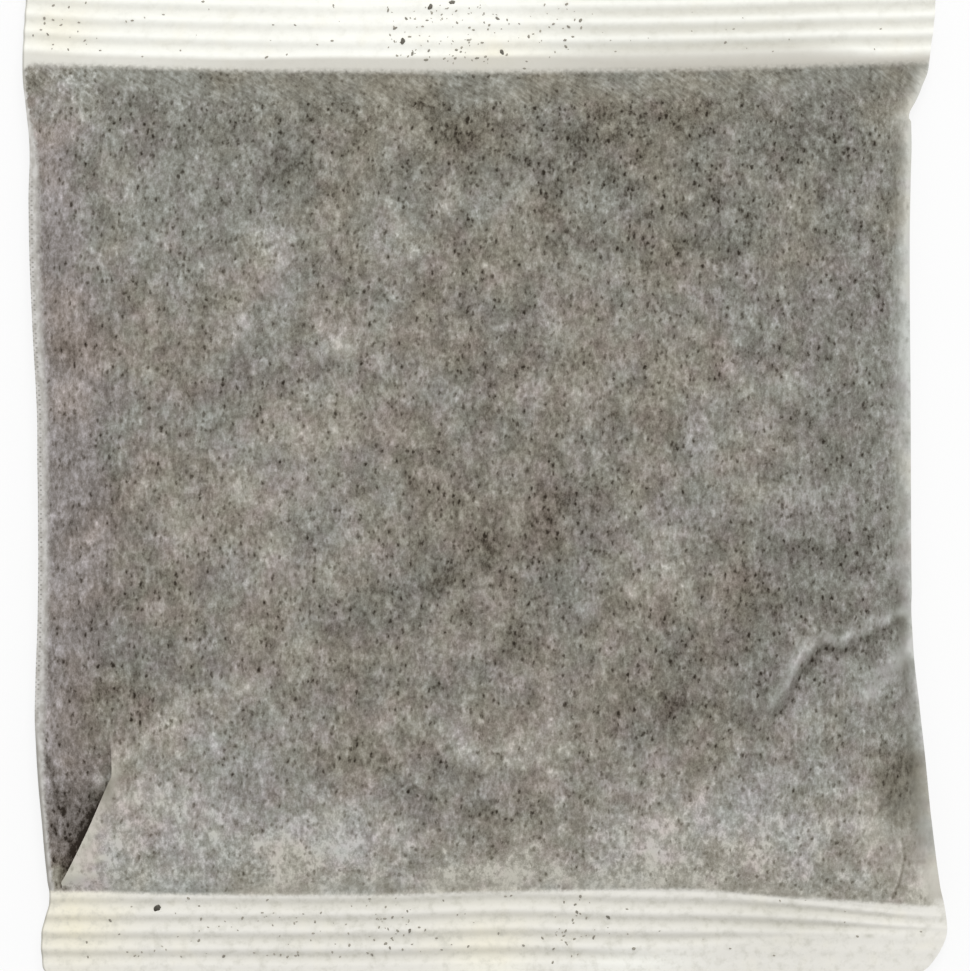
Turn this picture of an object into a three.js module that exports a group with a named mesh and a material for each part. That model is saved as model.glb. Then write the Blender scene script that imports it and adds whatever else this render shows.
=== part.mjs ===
import * as THREE from 'three';

// Ground coffee sealed in a pouch of white filter paper. One web is folded along the right edge,
// joined by a narrow seal along the left edge and closed across both ends by ribbed crimp seals.
// X runs across the pouch, Y from the bottom seal to the top seal, Z up from the table.

// Driving dimensions of the filled body, in millimetres
const bodyWidth = 101.5;
const bodyLength = 96.3;
const crownHeight = 4.9;
const bellyDepth = 2.7;
const sideRise = 46;
const endRise = 42;
const shoulderFullness = 4.5;
const layerThickness = 0.15;

// Flat lips along the long edges: a narrow seal on the left, a pressed fold on the right
const sideSealWidth = 1;
const foldLipWidth = 1.2;

// Crimped seals across the ends
const ribPitch = 2.05;
const ribCount = 4;
const ribHeight = 0.4;
const bottomClearBand = 0.45;
const bottomSealMargin = 1.05;
const topClearBand = 1.3;
const topSealMargin = 1.7;
const topSealDroop = 0.9;
const bottomSealDroop = 0.7;
const flatRibRun = 24;
const flatRibShare = 0.75;
const roundCornerRadius = 5.2;
const squareCornerRadius = 1.1;

// How far the long edges stand out beyond the straight sides of the body
const topCutOverhangLeft = 1.1;
const topCutOverhangRight = 3.1;
const topSealOverhangLeft = 1.6;
const topSealOverhangRight = 2.3;
const topShoulderOverhangLeft = 0.9;
const topShoulderLengthLeft = 9;
const topShoulderLengthRight = 6.3;
const topTaperLength = 38;
const bottomSealOverhangLeft = -1.5;
const bottomSealOverhangRight = 3.6;
const bottomCutOverhangLeft = -0.4;
const bottomCutOverhangRight = 4.2;
const bottomPinchLength = 17;
const bottomFlareLength = 30;

// How far the seal lines stray from straight
const topSealBow = 1.1;
const bottomSealDrop = 1.6;
const bottomSealDropRun = 26;

// Tuck fold in the lower left corner, running up from the end of the bottom seal
const tuckFootInset = 1.5;
const tuckFootRise = 1.2;
const tuckHeadInset = 8.8;
const tuckLeanRise = 15;
const tuckHeadRise = 18;
const tuckLip = 0.35;
const tuckRaise = 1.3;
const tuckRaiseRun = 12;
const tuckDropShare = 0.75;
const tuckFade = 6;

// Wrinkle that climbs to the right edge
const wrinkleRoot = 31;
const wrinkleLength = 16;
const wrinkleClimb = 10;
const wrinkleHeight = 0.55;
const wrinkleWidth = 1.1;
const wrinkleReach = 14;

// Fineness of the faceted skin
const rowsPerRib = 7;
const marginRows = 3;
const lowerRows = 18;
const upperRows = 26;
const tuckColumns = 7;
const frontColumns = 34;
const sealColumns = 16;

// Lines across the pouch, measured along Y from the bottom seal's inner line
const ribBand = ribCount * ribPitch;
const bottomRibs = -bottomClearBand;
const bottomCut = bottomRibs - ribBand - bottomSealMargin;
const topSeal = bodyLength;
const topRibs = topSeal + topClearBand;
const topCut = topRibs + ribBand + topSealMargin;
const seamHeight = bellyDepth + layerThickness;

const clamp01 = (t) => THREE.MathUtils.clamp(t, 0, 1);
const ease = (t) => THREE.MathUtils.smoothstep(t, 0, 1);
const rise = (distance, run) => 1 - Math.pow(1 - clamp01(distance / run), shoulderFullness);

// Smooth curve through [place, value] stations, flat beyond both ends
function curveThrough(stations) {
  const places = stations.map((station) => station[0]);
  const values = stations.map((station) => station[1]);
  const curve = new THREE.CubicInterpolant(places, values, 1, [0]);
  return (place) => curve.evaluate(place)[0];
}

const leftOverhang = curveThrough([
  [bottomCut, bottomCutOverhangLeft],
  [bottomCut / 2, bottomCutOverhangLeft],
  [0, bottomSealOverhangLeft],
  [bottomPinchLength, 0],
  [topSeal - topTaperLength, 0],
  [topSeal - topShoulderLengthLeft, topShoulderOverhangLeft],
  [topSeal, topSealOverhangLeft],
  [topCut, topCutOverhangLeft],
]);

const rightOverhang = curveThrough([
  [bottomCut, bottomCutOverhangRight],
  [bottomCut / 2, bottomCutOverhangRight],
  [0, bottomSealOverhangRight],
  [bottomFlareLength / 2, bottomSealOverhangRight / 2],
  [bottomFlareLength, 0],
  [topSeal - 2 * topShoulderLengthRight, 0],
  [topSeal - topShoulderLengthRight, 0],
  [topSeal, topSealOverhangRight],
  [topCut, topCutOverhangRight],
]);

// Amount by which a rounded corner cuts into an end row at a distance from the cut
function cornerCut(distance, radius) {
  const inside = Math.max(radius - distance, 0);
  return radius - Math.sqrt(radius * radius - inside * inside);
}

function leftEdge(v) {
  const cut = cornerCut(v - bottomCut, squareCornerRadius) + cornerCut(topCut - v, squareCornerRadius);
  return -bodyWidth / 2 - leftOverhang(v) + cut;
}

function rightEdge(v) {
  const cut = cornerCut(v - bottomCut, roundCornerRadius) + cornerCut(topCut - v, squareCornerRadius);
  return bodyWidth / 2 + rightOverhang(v) - cut;
}

// The crease leans from the foot by the seal's end to the head further in, and runs straight up from there
function tuckCrease(v) {
  const place = clamp01((v - tuckFootRise) / (tuckLeanRise - tuckFootRise));
  const leanPower = 0.9;
  return leftEdge(v) + THREE.MathUtils.lerp(tuckFootInset, tuckHeadInset, place ** leanPower);
}

// The fold opens at its foot and closes again towards its head
function tuckStrength(v) {
  return ease(v / (2 * tuckFootRise)) * ease((tuckHeadRise - v) / tuckFade);
}

// The wrinkle's crest is one row of the skin, bent to climb towards the right edge
const wrinkleRow = wrinkleRoot - wrinkleClimb / 2;
const wrinkleTail = bodyWidth / 2 - wrinkleLength;

function wrinkleBend(x) {
  const along = clamp01((x - wrinkleTail) / wrinkleLength);
  const steepness = 2.5;
  const climb = 1 - Math.pow(1 - along, steepness);
  const lead = ease(1 + (x - wrinkleTail) / wrinkleReach);
  return wrinkleClimb * (climb - 1 / 2) * lead;
}

// A sharp crest with a shallow furrow below it
function wrinkleLift(x, v) {
  const strength = ease((3 * (x - wrinkleTail)) / wrinkleLength);
  const bump = (offset) => Math.exp(-(((v - wrinkleRow) / wrinkleWidth - offset) ** 2));
  const furrowPlace = -1.5;
  const furrowShare = 0.5;
  return wrinkleHeight * strength * (bump(0) - furrowShare * bump(furrowPlace));
}

// Distance that the skin's row v strays along Y at x
function rowStray(x, v) {
  const share = clamp01((x - leftEdge(v)) / (rightEdge(v) - leftEdge(v)));
  const bow = -topSealBow * Math.sin(Math.PI * share) * ease((2 * v) / topSeal - 1);
  const dropStart = bodyWidth / 2 - bottomSealDropRun;
  const dropShare = v < 0 ? 1 - v / bottomCut : ease(1 - (2 * v) / topSeal);
  const drop = -bottomSealDrop * ease((x - dropStart) / bottomSealDropRun) * dropShare;
  const window = 1 - ease(Math.abs(v - wrinkleRow) / wrinkleReach);
  return bow + drop + wrinkleBend(x) * window;
}

// Share of the full height that the fill reaches at a place on the body
function fillShare(x, v) {
  const fromLeft = rise(x - leftEdge(v) - sideSealWidth, sideRise);
  const fromRight = rise(rightEdge(v) - x - foldLipWidth, sideRise);
  return fromLeft * fromRight * rise(v, endRise) * rise(topSeal - v, endRise);
}

// Wave of the crimp ribs, pressed flatter towards the right end of the bottom seal
function sealWave(x, v) {
  const intoRibs = v < 0 ? bottomRibs - v : v - topRibs;
  if (intoRibs < 0 || intoRibs > ribBand) {
    return 0;
  }
  const wave = (Math.cos((2 * Math.PI * intoRibs) / ribPitch) - 1) / 2;
  const flattening = v < 0 ? flatRibShare * ease((x - bodyWidth / 2) / flatRibRun + 1) : 0;
  return ribHeight * wave * (1 - flattening);
}

// The free ends of the seals hang a little
function sealDroop(v) {
  const below = clamp01(v / bottomCut);
  const above = clamp01((v - topSeal) / (topCut - topSeal));
  return -bottomSealDroop * below * below - topSealDroop * above * above;
}

// Height that the tuck fold adds right of its crease and takes away left of it
function tuckLift(x, v, height) {
  const fromCrease = x - tuckCrease(v);
  if (fromCrease >= 0) {
    return tuckRaise * tuckStrength(v) * (1 - ease(fromCrease / tuckRaiseRun));
  }
  const nearness = clamp01((x - leftEdge(v)) / (tuckCrease(v) - leftEdge(v)));
  return -height * tuckDropShare * tuckStrength(v) * nearness;
}

const seam = (x, v) => seamHeight + sealWave(x, v) + sealDroop(v);

function frontHeight(x, v) {
  const share = fillShare(x, v);
  const fill = crownHeight * share;
  const folds = tuckLift(x, v, fill) + wrinkleLift(x, v) * share;
  return seam(x, v) + layerThickness + fill + folds;
}

// The back rests on the table, flat wherever the fill presses it down
function backHeight(x, v) {
  const restShare = 0.6;
  const fill = bellyDepth * Math.min(1, fillShare(x, v) / restShare);
  return seam(x, v) - layerThickness - fill;
}

// Evenly spaced steps from start up to, but without, end
function steps(start, end, count) {
  return Array.from({ length: count }, (_, i) => THREE.MathUtils.lerp(start, end, i / count));
}

// Steps that lie closer together towards both ends of a run
function easedSteps(start, end, count) {
  const bunching = 0.6;
  return steps(0, 1, count).map((t) => {
    const bunched = t - (bunching * Math.sin(2 * Math.PI * t)) / (2 * Math.PI);
    return THREE.MathUtils.lerp(start, end, bunched);
  });
}

const rows = [
  ...steps(bottomCut, bottomRibs - ribBand, marginRows),
  ...steps(bottomRibs - ribBand, bottomRibs, ribCount * rowsPerRib),
  bottomRibs,
  ...easedSteps(0, wrinkleRow, lowerRows),
  ...easedSteps(wrinkleRow, topSeal, upperRows),
  ...steps(topSeal, topRibs, marginRows),
  ...steps(topRibs, topRibs + ribBand, ribCount * rowsPerRib),
  ...steps(topRibs + ribBand, topCut, marginRows),
  topCut,
];

// Columns of a plain row, with a point at the inner line of each lip
function plainColumns(v) {
  const left = leftEdge(v);
  const right = rightEdge(v);
  const inner = easedSteps(left + sideSealWidth, right - foldLipWidth, sealColumns);
  return [left, ...inner, right - foldLipWidth, right];
}

// Columns of a front row, with two of them following the tuck fold's crease
function creasedColumns(v) {
  const left = leftEdge(v);
  const right = rightEdge(v);
  const crease = tuckCrease(v);
  const lip = Math.min(tuckLip, (crease - left) / tuckColumns);
  return [
    ...steps(left, crease - lip, tuckColumns),
    crease - lip,
    ...easedSteps(crease, right - foldLipWidth, frontColumns),
    right - foldLipWidth,
    right,
  ];
}

const points = [];
const triangles = [];

// Adds a row of points across the pouch and returns each one's index and share of the way across
function addRow(columns, v, heightAt) {
  const left = columns[0];
  const width = columns[columns.length - 1] - left;
  return columns.map((x) => {
    points.push(x, v + rowStray(x, v), heightAt(x, v));
    return { index: points.length / 3 - 1, share: (x - left) / width };
  });
}

// Joins two rows of points by triangles: column to column where they have as many points,
// and otherwise by each point's share of the way across
function stitch(lower, upper) {
  const alike = lower.length === upper.length;
  const next = (row, k) => (k < row.length - 1 ? (alike ? k : row[k + 1].share) : Infinity);
  let i = 0;
  let j = 0;
  while (i < lower.length - 1 || j < upper.length - 1) {
    if (next(lower, i) <= next(upper, j)) {
      triangles.push(lower[i].index, lower[i + 1].index, upper[j].index);
      i += 1;
    } else {
      triangles.push(lower[i].index, upper[j + 1].index, upper[j].index);
      j += 1;
    }
  }
}

function wrapSkin() {
  const front = rows.map((v) => {
    const columns = v > 0 && v < topSeal ? creasedColumns(v) : plainColumns(v);
    return addRow(columns, v, frontHeight);
  });
  const back = rows.map((v) => addRow(plainColumns(v), v, backHeight));
  for (let r = 0; r < rows.length - 1; r += 1) {
    stitch(front[r], front[r + 1]);
    stitch(back[r + 1], back[r]);
    const [frontLow, frontHigh, backLow, backHigh] = [front[r], front[r + 1], back[r], back[r + 1]];
    triangles.push(frontLow[0].index, frontHigh[0].index, backLow[0].index);
    triangles.push(frontHigh[0].index, backHigh[0].index, backLow[0].index);
    triangles.push(frontLow.at(-1).index, backLow.at(-1).index, frontHigh.at(-1).index);
    triangles.push(frontHigh.at(-1).index, backLow.at(-1).index, backHigh.at(-1).index);
  }
  stitch(back[0], front[0]);
  stitch(front.at(-1), back.at(-1));
}

function pouchGeometry() {
  wrapSkin();
  const geometry = new THREE.BufferGeometry();
  geometry.setAttribute('position', new THREE.Float32BufferAttribute(points, 3));
  geometry.setIndex(triangles);
  geometry.computeBoundingBox();
  const middle = geometry.boundingBox.getCenter(new THREE.Vector3());
  geometry.translate(-middle.x, -middle.y, -geometry.boundingBox.min.z);
  return geometry;
}

const filterPaper = new THREE.MeshStandardMaterial({ color: 0xa39d92, roughness: 0.9, metalness: 0 });
const filterPouch = new THREE.Mesh(pouchGeometry(), filterPaper);
filterPouch.name = 'filter_pouch';

const pouch = new THREE.Group();
pouch.add(filterPouch);

export default pouch;
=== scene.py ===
# %% [markdown]
# # A coffee filter pouch
# The object is a flat pouch of white filter paper with ground coffee sealed inside. It is about as large as
# a hand, 8 mm thick, and lies on its back. The lesson builds its paper as one fine mesh, paints the coffee
# that shows through it with shader nodes, and scatters the stray grains that were caught in the seals.

# %% Load the frame
import math

import bmesh
import bpy
import numpy as np
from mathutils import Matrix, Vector


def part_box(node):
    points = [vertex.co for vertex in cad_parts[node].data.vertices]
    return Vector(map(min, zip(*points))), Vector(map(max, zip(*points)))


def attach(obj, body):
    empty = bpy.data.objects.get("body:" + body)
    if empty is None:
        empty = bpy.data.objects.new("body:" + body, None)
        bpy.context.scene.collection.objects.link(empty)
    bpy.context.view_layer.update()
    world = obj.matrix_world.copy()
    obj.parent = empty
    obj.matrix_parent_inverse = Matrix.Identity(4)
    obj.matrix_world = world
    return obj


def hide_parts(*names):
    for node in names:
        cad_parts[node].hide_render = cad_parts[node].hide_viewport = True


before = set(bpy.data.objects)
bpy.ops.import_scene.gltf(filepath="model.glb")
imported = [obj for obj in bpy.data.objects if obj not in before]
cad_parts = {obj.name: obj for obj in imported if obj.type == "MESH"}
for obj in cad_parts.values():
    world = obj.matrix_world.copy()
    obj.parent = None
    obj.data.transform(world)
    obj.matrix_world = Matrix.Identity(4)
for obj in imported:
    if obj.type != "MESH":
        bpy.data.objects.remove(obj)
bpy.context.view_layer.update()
pouch_low, pouch_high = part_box("filter_pouch")
print("pouch box in mm:", [round(1000 * side, 1) for side in pouch_high - pouch_low])

# %% [markdown]
# ## Sizes
# One web of paper is folded along the right edge, joined by a narrow seal along the left edge and crimped
# across both ends. These are the real sizes in millimetres. X runs across the pouch from its middle, and V
# runs up the pouch from the inner line of the bottom seal. Working in the object's own terms keeps every
# later place readable, and one factor turns it into Blender's metres at the end.

# %% Sizes of the pouch
MM = 0.001
BODY_WIDTH = 101.5
BODY_LENGTH = 96.3
CROWN_HEIGHT = 4.9
BELLY_DEPTH = 2.7
SIDE_RISE = 46
END_RISE = 42
SHOULDER_FULLNESS = 4.5
LAYER_THICKNESS = 0.15
SIDE_SEAL_WIDTH = 1.0
FOLD_LIP_WIDTH = 1.2
RIB_PITCH = 2.05
RIB_COUNT = 4
RIB_HEIGHT = 0.4
BOTTOM_CLEAR_BAND = 0.45
BOTTOM_SEAL_MARGIN = 1.05
TOP_CLEAR_BAND = 1.3
TOP_SEAL_MARGIN = 1.7

RIB_BAND = RIB_COUNT * RIB_PITCH
BOTTOM_RIBS = -BOTTOM_CLEAR_BAND
BOTTOM_CUT = BOTTOM_RIBS - RIB_BAND - BOTTOM_SEAL_MARGIN
TOP_SEAL = BODY_LENGTH
TOP_RIBS = TOP_SEAL + TOP_CLEAR_BAND
TOP_CUT = TOP_RIBS + RIB_BAND + TOP_SEAL_MARGIN
SEAM_HEIGHT = BELLY_DEPTH + LAYER_THICKNESS
HALF_WIDTH = BODY_WIDTH / 2
print("seal to seal:", TOP_SEAL, "mm, cut to cut:", round(TOP_CUT - BOTTOM_CUT, 1), "mm")

# %% [markdown]
# ## Outline
# The long edges aren't straight: paper that bulges over a fill draws its sides in, and the flat seals keep
# their full width. A few stations with a smooth curve through them describe each edge, which is easier to
# read and to change than a traced outline.

# %% Curves
def ease(t):
    t = np.clip(t, 0, 1)
    return t * t * (3 - 2 * t)


def fade(place, start, end):
    """Runs smoothly from 0 at the start to 1 at the end, whichever way they lie."""
    return ease((place - start) / (end - start))


def hump(place, middle, half_width):
    """1 in the middle, falling off smoothly on both sides."""
    return np.exp(-(((place - middle) / half_width) ** 2))


def curve_through(stations):
    """A smooth curve through (place, value) stations, flat beyond both ends."""
    places, values = np.array(stations, float).T
    slopes = np.zeros_like(values)
    slopes[1:-1] = (values[2:] - values[:-2]) / (places[2:] - places[:-2])

    def value_at(place):
        place = np.clip(place, places[0], places[-1])
        i = np.clip(np.searchsorted(places, place) - 1, 0, len(places) - 2)
        step = places[i + 1] - places[i]
        t = (place - places[i]) / step
        start = values[i] + slopes[i] * step * t
        end = values[i + 1] - slopes[i + 1] * step * (1 - t)
        return start + (end - start) * ease(t)

    return value_at


print("a fade half way:", float(fade(5, 0, 10)))

# %% Edges
# How far each long edge stands out past the body, in mm, at places V up the pouch
left_overhang = curve_through([
    (BOTTOM_CUT, -0.75), (BOTTOM_CUT / 2, -0.6), (-1.2, -1.5), (1.4, -1.31), (4, -1.04), (7, -0.78), (17, 0),
    (24, 0.06), (32, -0.2), (44, -0.24), (50, -0.16), (56, -0.1), (66, 0.43), (80, 0.86), (86, 0.74),
    (91, 1.17), (TOP_SEAL, 1.56), (TOP_CUT, 1.1),
])
right_overhang = curve_through([
    (BOTTOM_CUT, 4.1), (BOTTOM_CUT / 2, 4.15), (0, 4.0), (3, 3.34), (10.4, 2.3), (15, 1.75), (19.3, 0.95),
    (24.2, 0.17), (30, 0.07), (58, -0.07), (75, -0.17), (TOP_SEAL - 14, -0.06), (TOP_SEAL - 7, 0),
    (TOP_SEAL - 6.3, -0.28), (TOP_SEAL - 4.6, 0.52), (TOP_SEAL - 3, 1.2), (TOP_SEAL, 2.1), (TOP_CUT, 2.85),
])
ROUND_CORNER_RUN = 8.0
ROUND_CORNER_CUT = 3.0
ROUND_CORNER_POWER = 2.8
SQUARE_CORNER = 1.1
HALF_WAY_UP = 48.0


def square_corner_cut(distance):
    inside = np.maximum(SQUARE_CORNER - distance, 0)
    return SQUARE_CORNER - np.sqrt(SQUARE_CORNER**2 - inside**2)


def square_corner_cuts(v):
    return square_corner_cut(v - BOTTOM_CUT) + square_corner_cut(TOP_CUT - v)


def round_corner_cut(distance):
    return ROUND_CORNER_CUT * np.clip(1 - distance / ROUND_CORNER_RUN, 0, 1) ** ROUND_CORNER_POWER


def left_edge(v):
    return -HALF_WIDTH - left_overhang(v) + square_corner_cuts(v)


def right_edge(v):
    return HALF_WIDTH + right_overhang(v) - square_corner_cuts(v) - round_corner_cut(v - BOTTOM_CUT)


print("width half way up:", round(float(right_edge(HALF_WAY_UP) - left_edge(HALF_WAY_UP)), 2), "mm")

# %% [markdown]
# ## Folds
# Two folds give this pouch its character. In the lower left corner the paper was tucked under itself when
# the seal closed. On the right a wrinkle climbs to the folded edge. A row or a column of the mesh follows
# each of them, because a fold that cuts across the grid would come out as a saw-tooth.

# %% The tuck fold
TUCK_FOOT = 1.2
TUCK_LEAN_END = 13.8
TUCK_HEAD = 18.0
TUCK_FOOT_INSET = 1.65
TUCK_HEAD_INSET = 8.95
TUCK_RAISE = 1.3
TUCK_RAISE_RUN = 12
TUCK_DROP_SHARE = 0.75
TUCK_FADE = 6
TUCK_OVERLAP = 1.2
TUCK_GAP = 0.35
TUCK_ROUNDING = 0.12
TUCK_LEAN_POWER = 0.9


def tuck_crease(v):
    place = np.clip((v - TUCK_FOOT) / (TUCK_LEAN_END - TUCK_FOOT), 0, 1)
    return left_edge(v) + TUCK_FOOT_INSET + (TUCK_HEAD_INSET - TUCK_FOOT_INSET) * place**TUCK_LEAN_POWER


def tuck_strength(v):
    return fade(v, 0, 2 * TUCK_FOOT) * fade(v, TUCK_HEAD, TUCK_HEAD - TUCK_FADE)


print("tuck crease at its head:", round(float(tuck_crease(TUCK_HEAD)), 1), "mm")

# %% The wrinkle
WRINKLE_ROW = 26.0
WRINKLE_REACH = 14
WRINKLE_HEIGHT = 0.45
WRINKLE_TAIL = 32.7
WRINKLE_FADE = 5
CREST_ABOVE_LINE = 0.6
CREST_WIDTH_ABOVE = 1.6
CREST_WIDTH_BELOW = 0.8
FURROW_BELOW_CREST = 1.3
FURROW_WIDTH = 1.0
FURROW_SHARE = 0.5
# The wrinkle's line, as V at places X
wrinkle_line = curve_through([
    (WRINKLE_TAIL, 19.9), (34.5, 21.4), (36.1, 23.4), (37.3, 25.8), (38.5, 27.5), (39.7, 28.7), (40.6, 29.3),
    (41.4, 29.1), (42.3, 28.9), (43.8, 29.8), (45.1, 30.4), (46.5, 31.3), (47.9, 31.8), (50.3, 32.7),
])


def wrinkle_bend(x):
    lead = ease(1 + (x - WRINKLE_TAIL) / WRINKLE_REACH)
    return (wrinkle_line(x) - WRINKLE_ROW) * lead


def wrinkle_strength(x):
    return ease((x - WRINKLE_TAIL + 1) / WRINKLE_FADE)


def past_wrinkle(x, v):
    """How far a point lies above the wrinkle, measured square to its line."""
    step = 0.3
    slope = (wrinkle_line(x + step) - wrinkle_line(x - step)) / (2 * step)
    return (v - WRINKLE_ROW) / np.sqrt(1 + slope**2)


def wrinkle_lift(x, v):
    above_crest = past_wrinkle(x, v) - CREST_ABOVE_LINE
    crest = hump(above_crest, 0, np.where(above_crest > 0, CREST_WIDTH_ABOVE, CREST_WIDTH_BELOW))
    furrow = hump(above_crest, -FURROW_BELOW_CREST, FURROW_WIDTH)
    waver = 1 + 0.3 * np.sin(2.1 * x) * np.sin(0.9 * x + 1)
    return WRINKLE_HEIGHT * wrinkle_strength(x) * waver * (crest - FURROW_SHARE * furrow)


print("wrinkle from x", WRINKLE_TAIL, "to the folded edge at", round(float(right_edge(WRINKLE_ROW)), 1), "mm")

# %% [markdown]
# ## Lines that stray
# The seal lines of a filled pouch aren't straight. The top one bows, and the bottom one waves, drops to the
# right and sags at the corner. One rule says how far each row of the mesh strays, so that the ribs, the
# seal lines and the edge of the coffee all bend together. Moving points by hand would have to be done for
# each of them.

# %% How far a row strays
TOP_BOW = 1.1
BOTTOM_DROP = 1.75
BOTTOM_DROP_RUN = 26
BOTTOM_WAVE = 0.55
BOTTOM_WAVE_MIDDLE = 4
BOTTOM_WAVE_WIDTH = 11
BOTTOM_WAVE_RUN = 12
CORNER_SAG = 0.75
CORNER_SAG_START = 40
CORNER_SAG_RUN = 15
CORNER_SAG_POWER = 1.4
TOP_RIB_SHIFT = 0.26
# Places V between which the sag fades, and places X between which the ribs' shift changes
SAG_FADE_BELOW = (-2, -7)
SAG_FADE_ABOVE = (0, 8)
SHIFT_RIGHT = (-15, 10)
SHIFT_FAR_RIGHT = (42, 50)
SHIFT_FAR_LEFT = (-44, -52)


def from_inner_line(v):
    """How far below the bottom seal's inner line and above the top one's, each from 0 to 1 at the cut."""
    return np.clip(v / BOTTOM_CUT, 0, 1), np.clip((v - TOP_SEAL) / (TOP_CUT - TOP_SEAL), 0, 1)


def rib_shift(x, v):
    """The ribs of the top seal lie higher on the right and at the far left."""
    share = fade(x, *SHIFT_RIGHT) * (1 - 0.6 * fade(x, *SHIFT_FAR_RIGHT)) + fade(x, *SHIFT_FAR_LEFT)
    return TOP_RIB_SHIFT * share * fade(v, TOP_SEAL, TOP_SEAL + 1.5) * fade(v, TOP_CUT, TOP_CUT - 1.7)


def row_stray(x, v):
    """How far a row strays from straight: bowed at the top, dropped to the right and waved at the bottom."""
    share = np.clip((x - left_edge(v)) / (right_edge(v) - left_edge(v)), 0, 1)
    bow = -TOP_BOW * np.sin(np.pi * share) * fade(v, TOP_SEAL / 2, TOP_SEAL)
    below, _ = from_inner_line(v)
    drop_share = np.where(v < 0, (1 - below) * (1 - 0.9 * below), fade(v, TOP_SEAL / 2, 0))
    drop = -BOTTOM_DROP * fade(x, HALF_WIDTH - BOTTOM_DROP_RUN, HALF_WIDTH) * drop_share
    wave_share = np.where(v < 0, 1 - 0.5 * below**2, 1 - fade(v, 0, BOTTOM_WAVE_RUN))
    wave = BOTTOM_WAVE * hump(x, BOTTOM_WAVE_MIDDLE, BOTTOM_WAVE_WIDTH) * wave_share
    sag_share = np.where(v < 0, 1 - fade(v, *SAG_FADE_BELOW), 1 - fade(v, *SAG_FADE_ABOVE))
    into_corner = np.clip((x - CORNER_SAG_START) / CORNER_SAG_RUN, 0, 1.2)
    sag = -CORNER_SAG * into_corner**CORNER_SAG_POWER * sag_share
    wrinkle_window = 1 - fade(np.abs(v - WRINKLE_ROW), 0, WRINKLE_REACH)
    return bow + drop + wave + sag + rib_shift(x, v) + wrinkle_bend(x) * wrinkle_window


print("top bow in the middle:", round(float(row_stray(0.0, TOP_SEAL)), 2), "mm")

# %% [markdown]
# ## Heights
# The fill presses the front up and the back flat onto the table. Both end seals are crimped into ribs with
# rounded crests, and their free ends hang a little. Every height is a function of X and V, so that the
# same rule serves the fine front and the coarser back.

# %% Fill and ribs
FLAT_RIB_RUN = 14
FLAT_RIB_SHARE = 0.9
FAINT_RIB_SHARE = 0.45
# Where each rib of the bottom seal begins to flatten towards the right corner, as X at places V
flat_rib_start = curve_through([(-7.6, 12), (-5.6, 22), (-3.5, 40), (-1.5, 44)])


def rise(distance, run):
    return 1 - (1 - np.clip(distance / run, 0, 1)) ** SHOULDER_FULLNESS


def fill_share(x, v):
    from_left = rise(x - left_edge(v) - SIDE_SEAL_WIDTH, SIDE_RISE)
    from_right = rise(right_edge(v) - x - FOLD_LIP_WIDTH, SIDE_RISE)
    return from_left * from_right * rise(v, END_RISE) * rise(TOP_SEAL - v, END_RISE)


def rib_wave(v):
    into_ribs = np.where(v < 0, BOTTOM_RIBS - v, v - TOP_RIBS)
    wave = (np.cos(2 * np.pi * into_ribs / RIB_PITCH) - 1) / 2
    return np.where((into_ribs > 0) & (into_ribs < RIB_BAND), wave, 0)


def rib_strength(x, v):
    pressed_flat = FLAT_RIB_SHARE * ease((x - flat_rib_start(v)) / FLAT_RIB_RUN)
    faint_middle = FAINT_RIB_SHARE * hump(x, -8, 18)
    return 1 - np.where(v < 0, pressed_flat, faint_middle)


print("fill in the middle:", round(float(fill_share(0.0, HALF_WAY_UP)), 3), "of the crown")

# %% Front and back heights
TOP_DROOP = 0.9
BOTTOM_DROOP = 0.7
REST_SHARE = 0.6


def seal_droop(v):
    below, above = from_inner_line(v)
    return -BOTTOM_DROOP * below**2 - TOP_DROOP * above**2


def seam(x, v):
    return SEAM_HEIGHT + RIB_HEIGHT * rib_wave(v) * rib_strength(x, v) + seal_droop(v)


def front_height(x, v, right_of_crease):
    share = fill_share(x, v)
    fill = CROWN_HEIGHT * share
    from_crease = np.maximum(x - tuck_crease(v), 0)
    raised = TUCK_RAISE * (1 - ease(from_crease / TUCK_RAISE_RUN))
    nearness = np.clip((x - left_edge(v)) / (tuck_crease(v) - left_edge(v)), 0, 1)
    dropped = -fill * TUCK_DROP_SHARE * nearness
    tuck = np.where(right_of_crease, raised, dropped) * tuck_strength(v)
    return seam(x, v) + LAYER_THICKNESS + fill + tuck + wrinkle_lift(x, v) * share


def back_height(x, v):
    fill = BELLY_DEPTH * np.minimum(1, fill_share(x, v) / REST_SHARE)
    return seam(x, v) - LAYER_THICKNESS - fill


print("height at the crown:", round(float(front_height(0.0, HALF_WAY_UP, True)), 2), "mm")

# %% [markdown]
# ## Unevenness
# Real paper over loose grounds is never a clean formula. Sums of a few dozen random ripples give smooth,
# repeatable lumps of one chosen size, and short pleats gather the paper where the flat seals take up the
# curve. A cloth simulation could do this too, but it would blur the crisp crimps and the tuck.

# %% Lumps, gathers and seal waves
def lumps(x, v, size, seed):
    """Smooth random relief of about unit height, with bumps of about the given size."""
    random = np.random.default_rng(seed)
    total = np.zeros(np.broadcast(x, v).shape)
    waves = 36
    for _ in range(waves):
        angle, phase = random.uniform(0, 2 * np.pi, 2)
        length = 2 * size * random.uniform(0.7, 1.5)
        total += np.cos(2 * np.pi * (x * np.cos(angle) + v * np.sin(angle)) / length + phase)
    return total / math.sqrt(waves / 2)


GATHER_HEIGHT = 0.07
GATHER_RUN = 6
LUMP_HEIGHT = 0.16
RIPPLE_HEIGHT = 0.05
SEAL_WAVE_HEIGHT = 0.22


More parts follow.
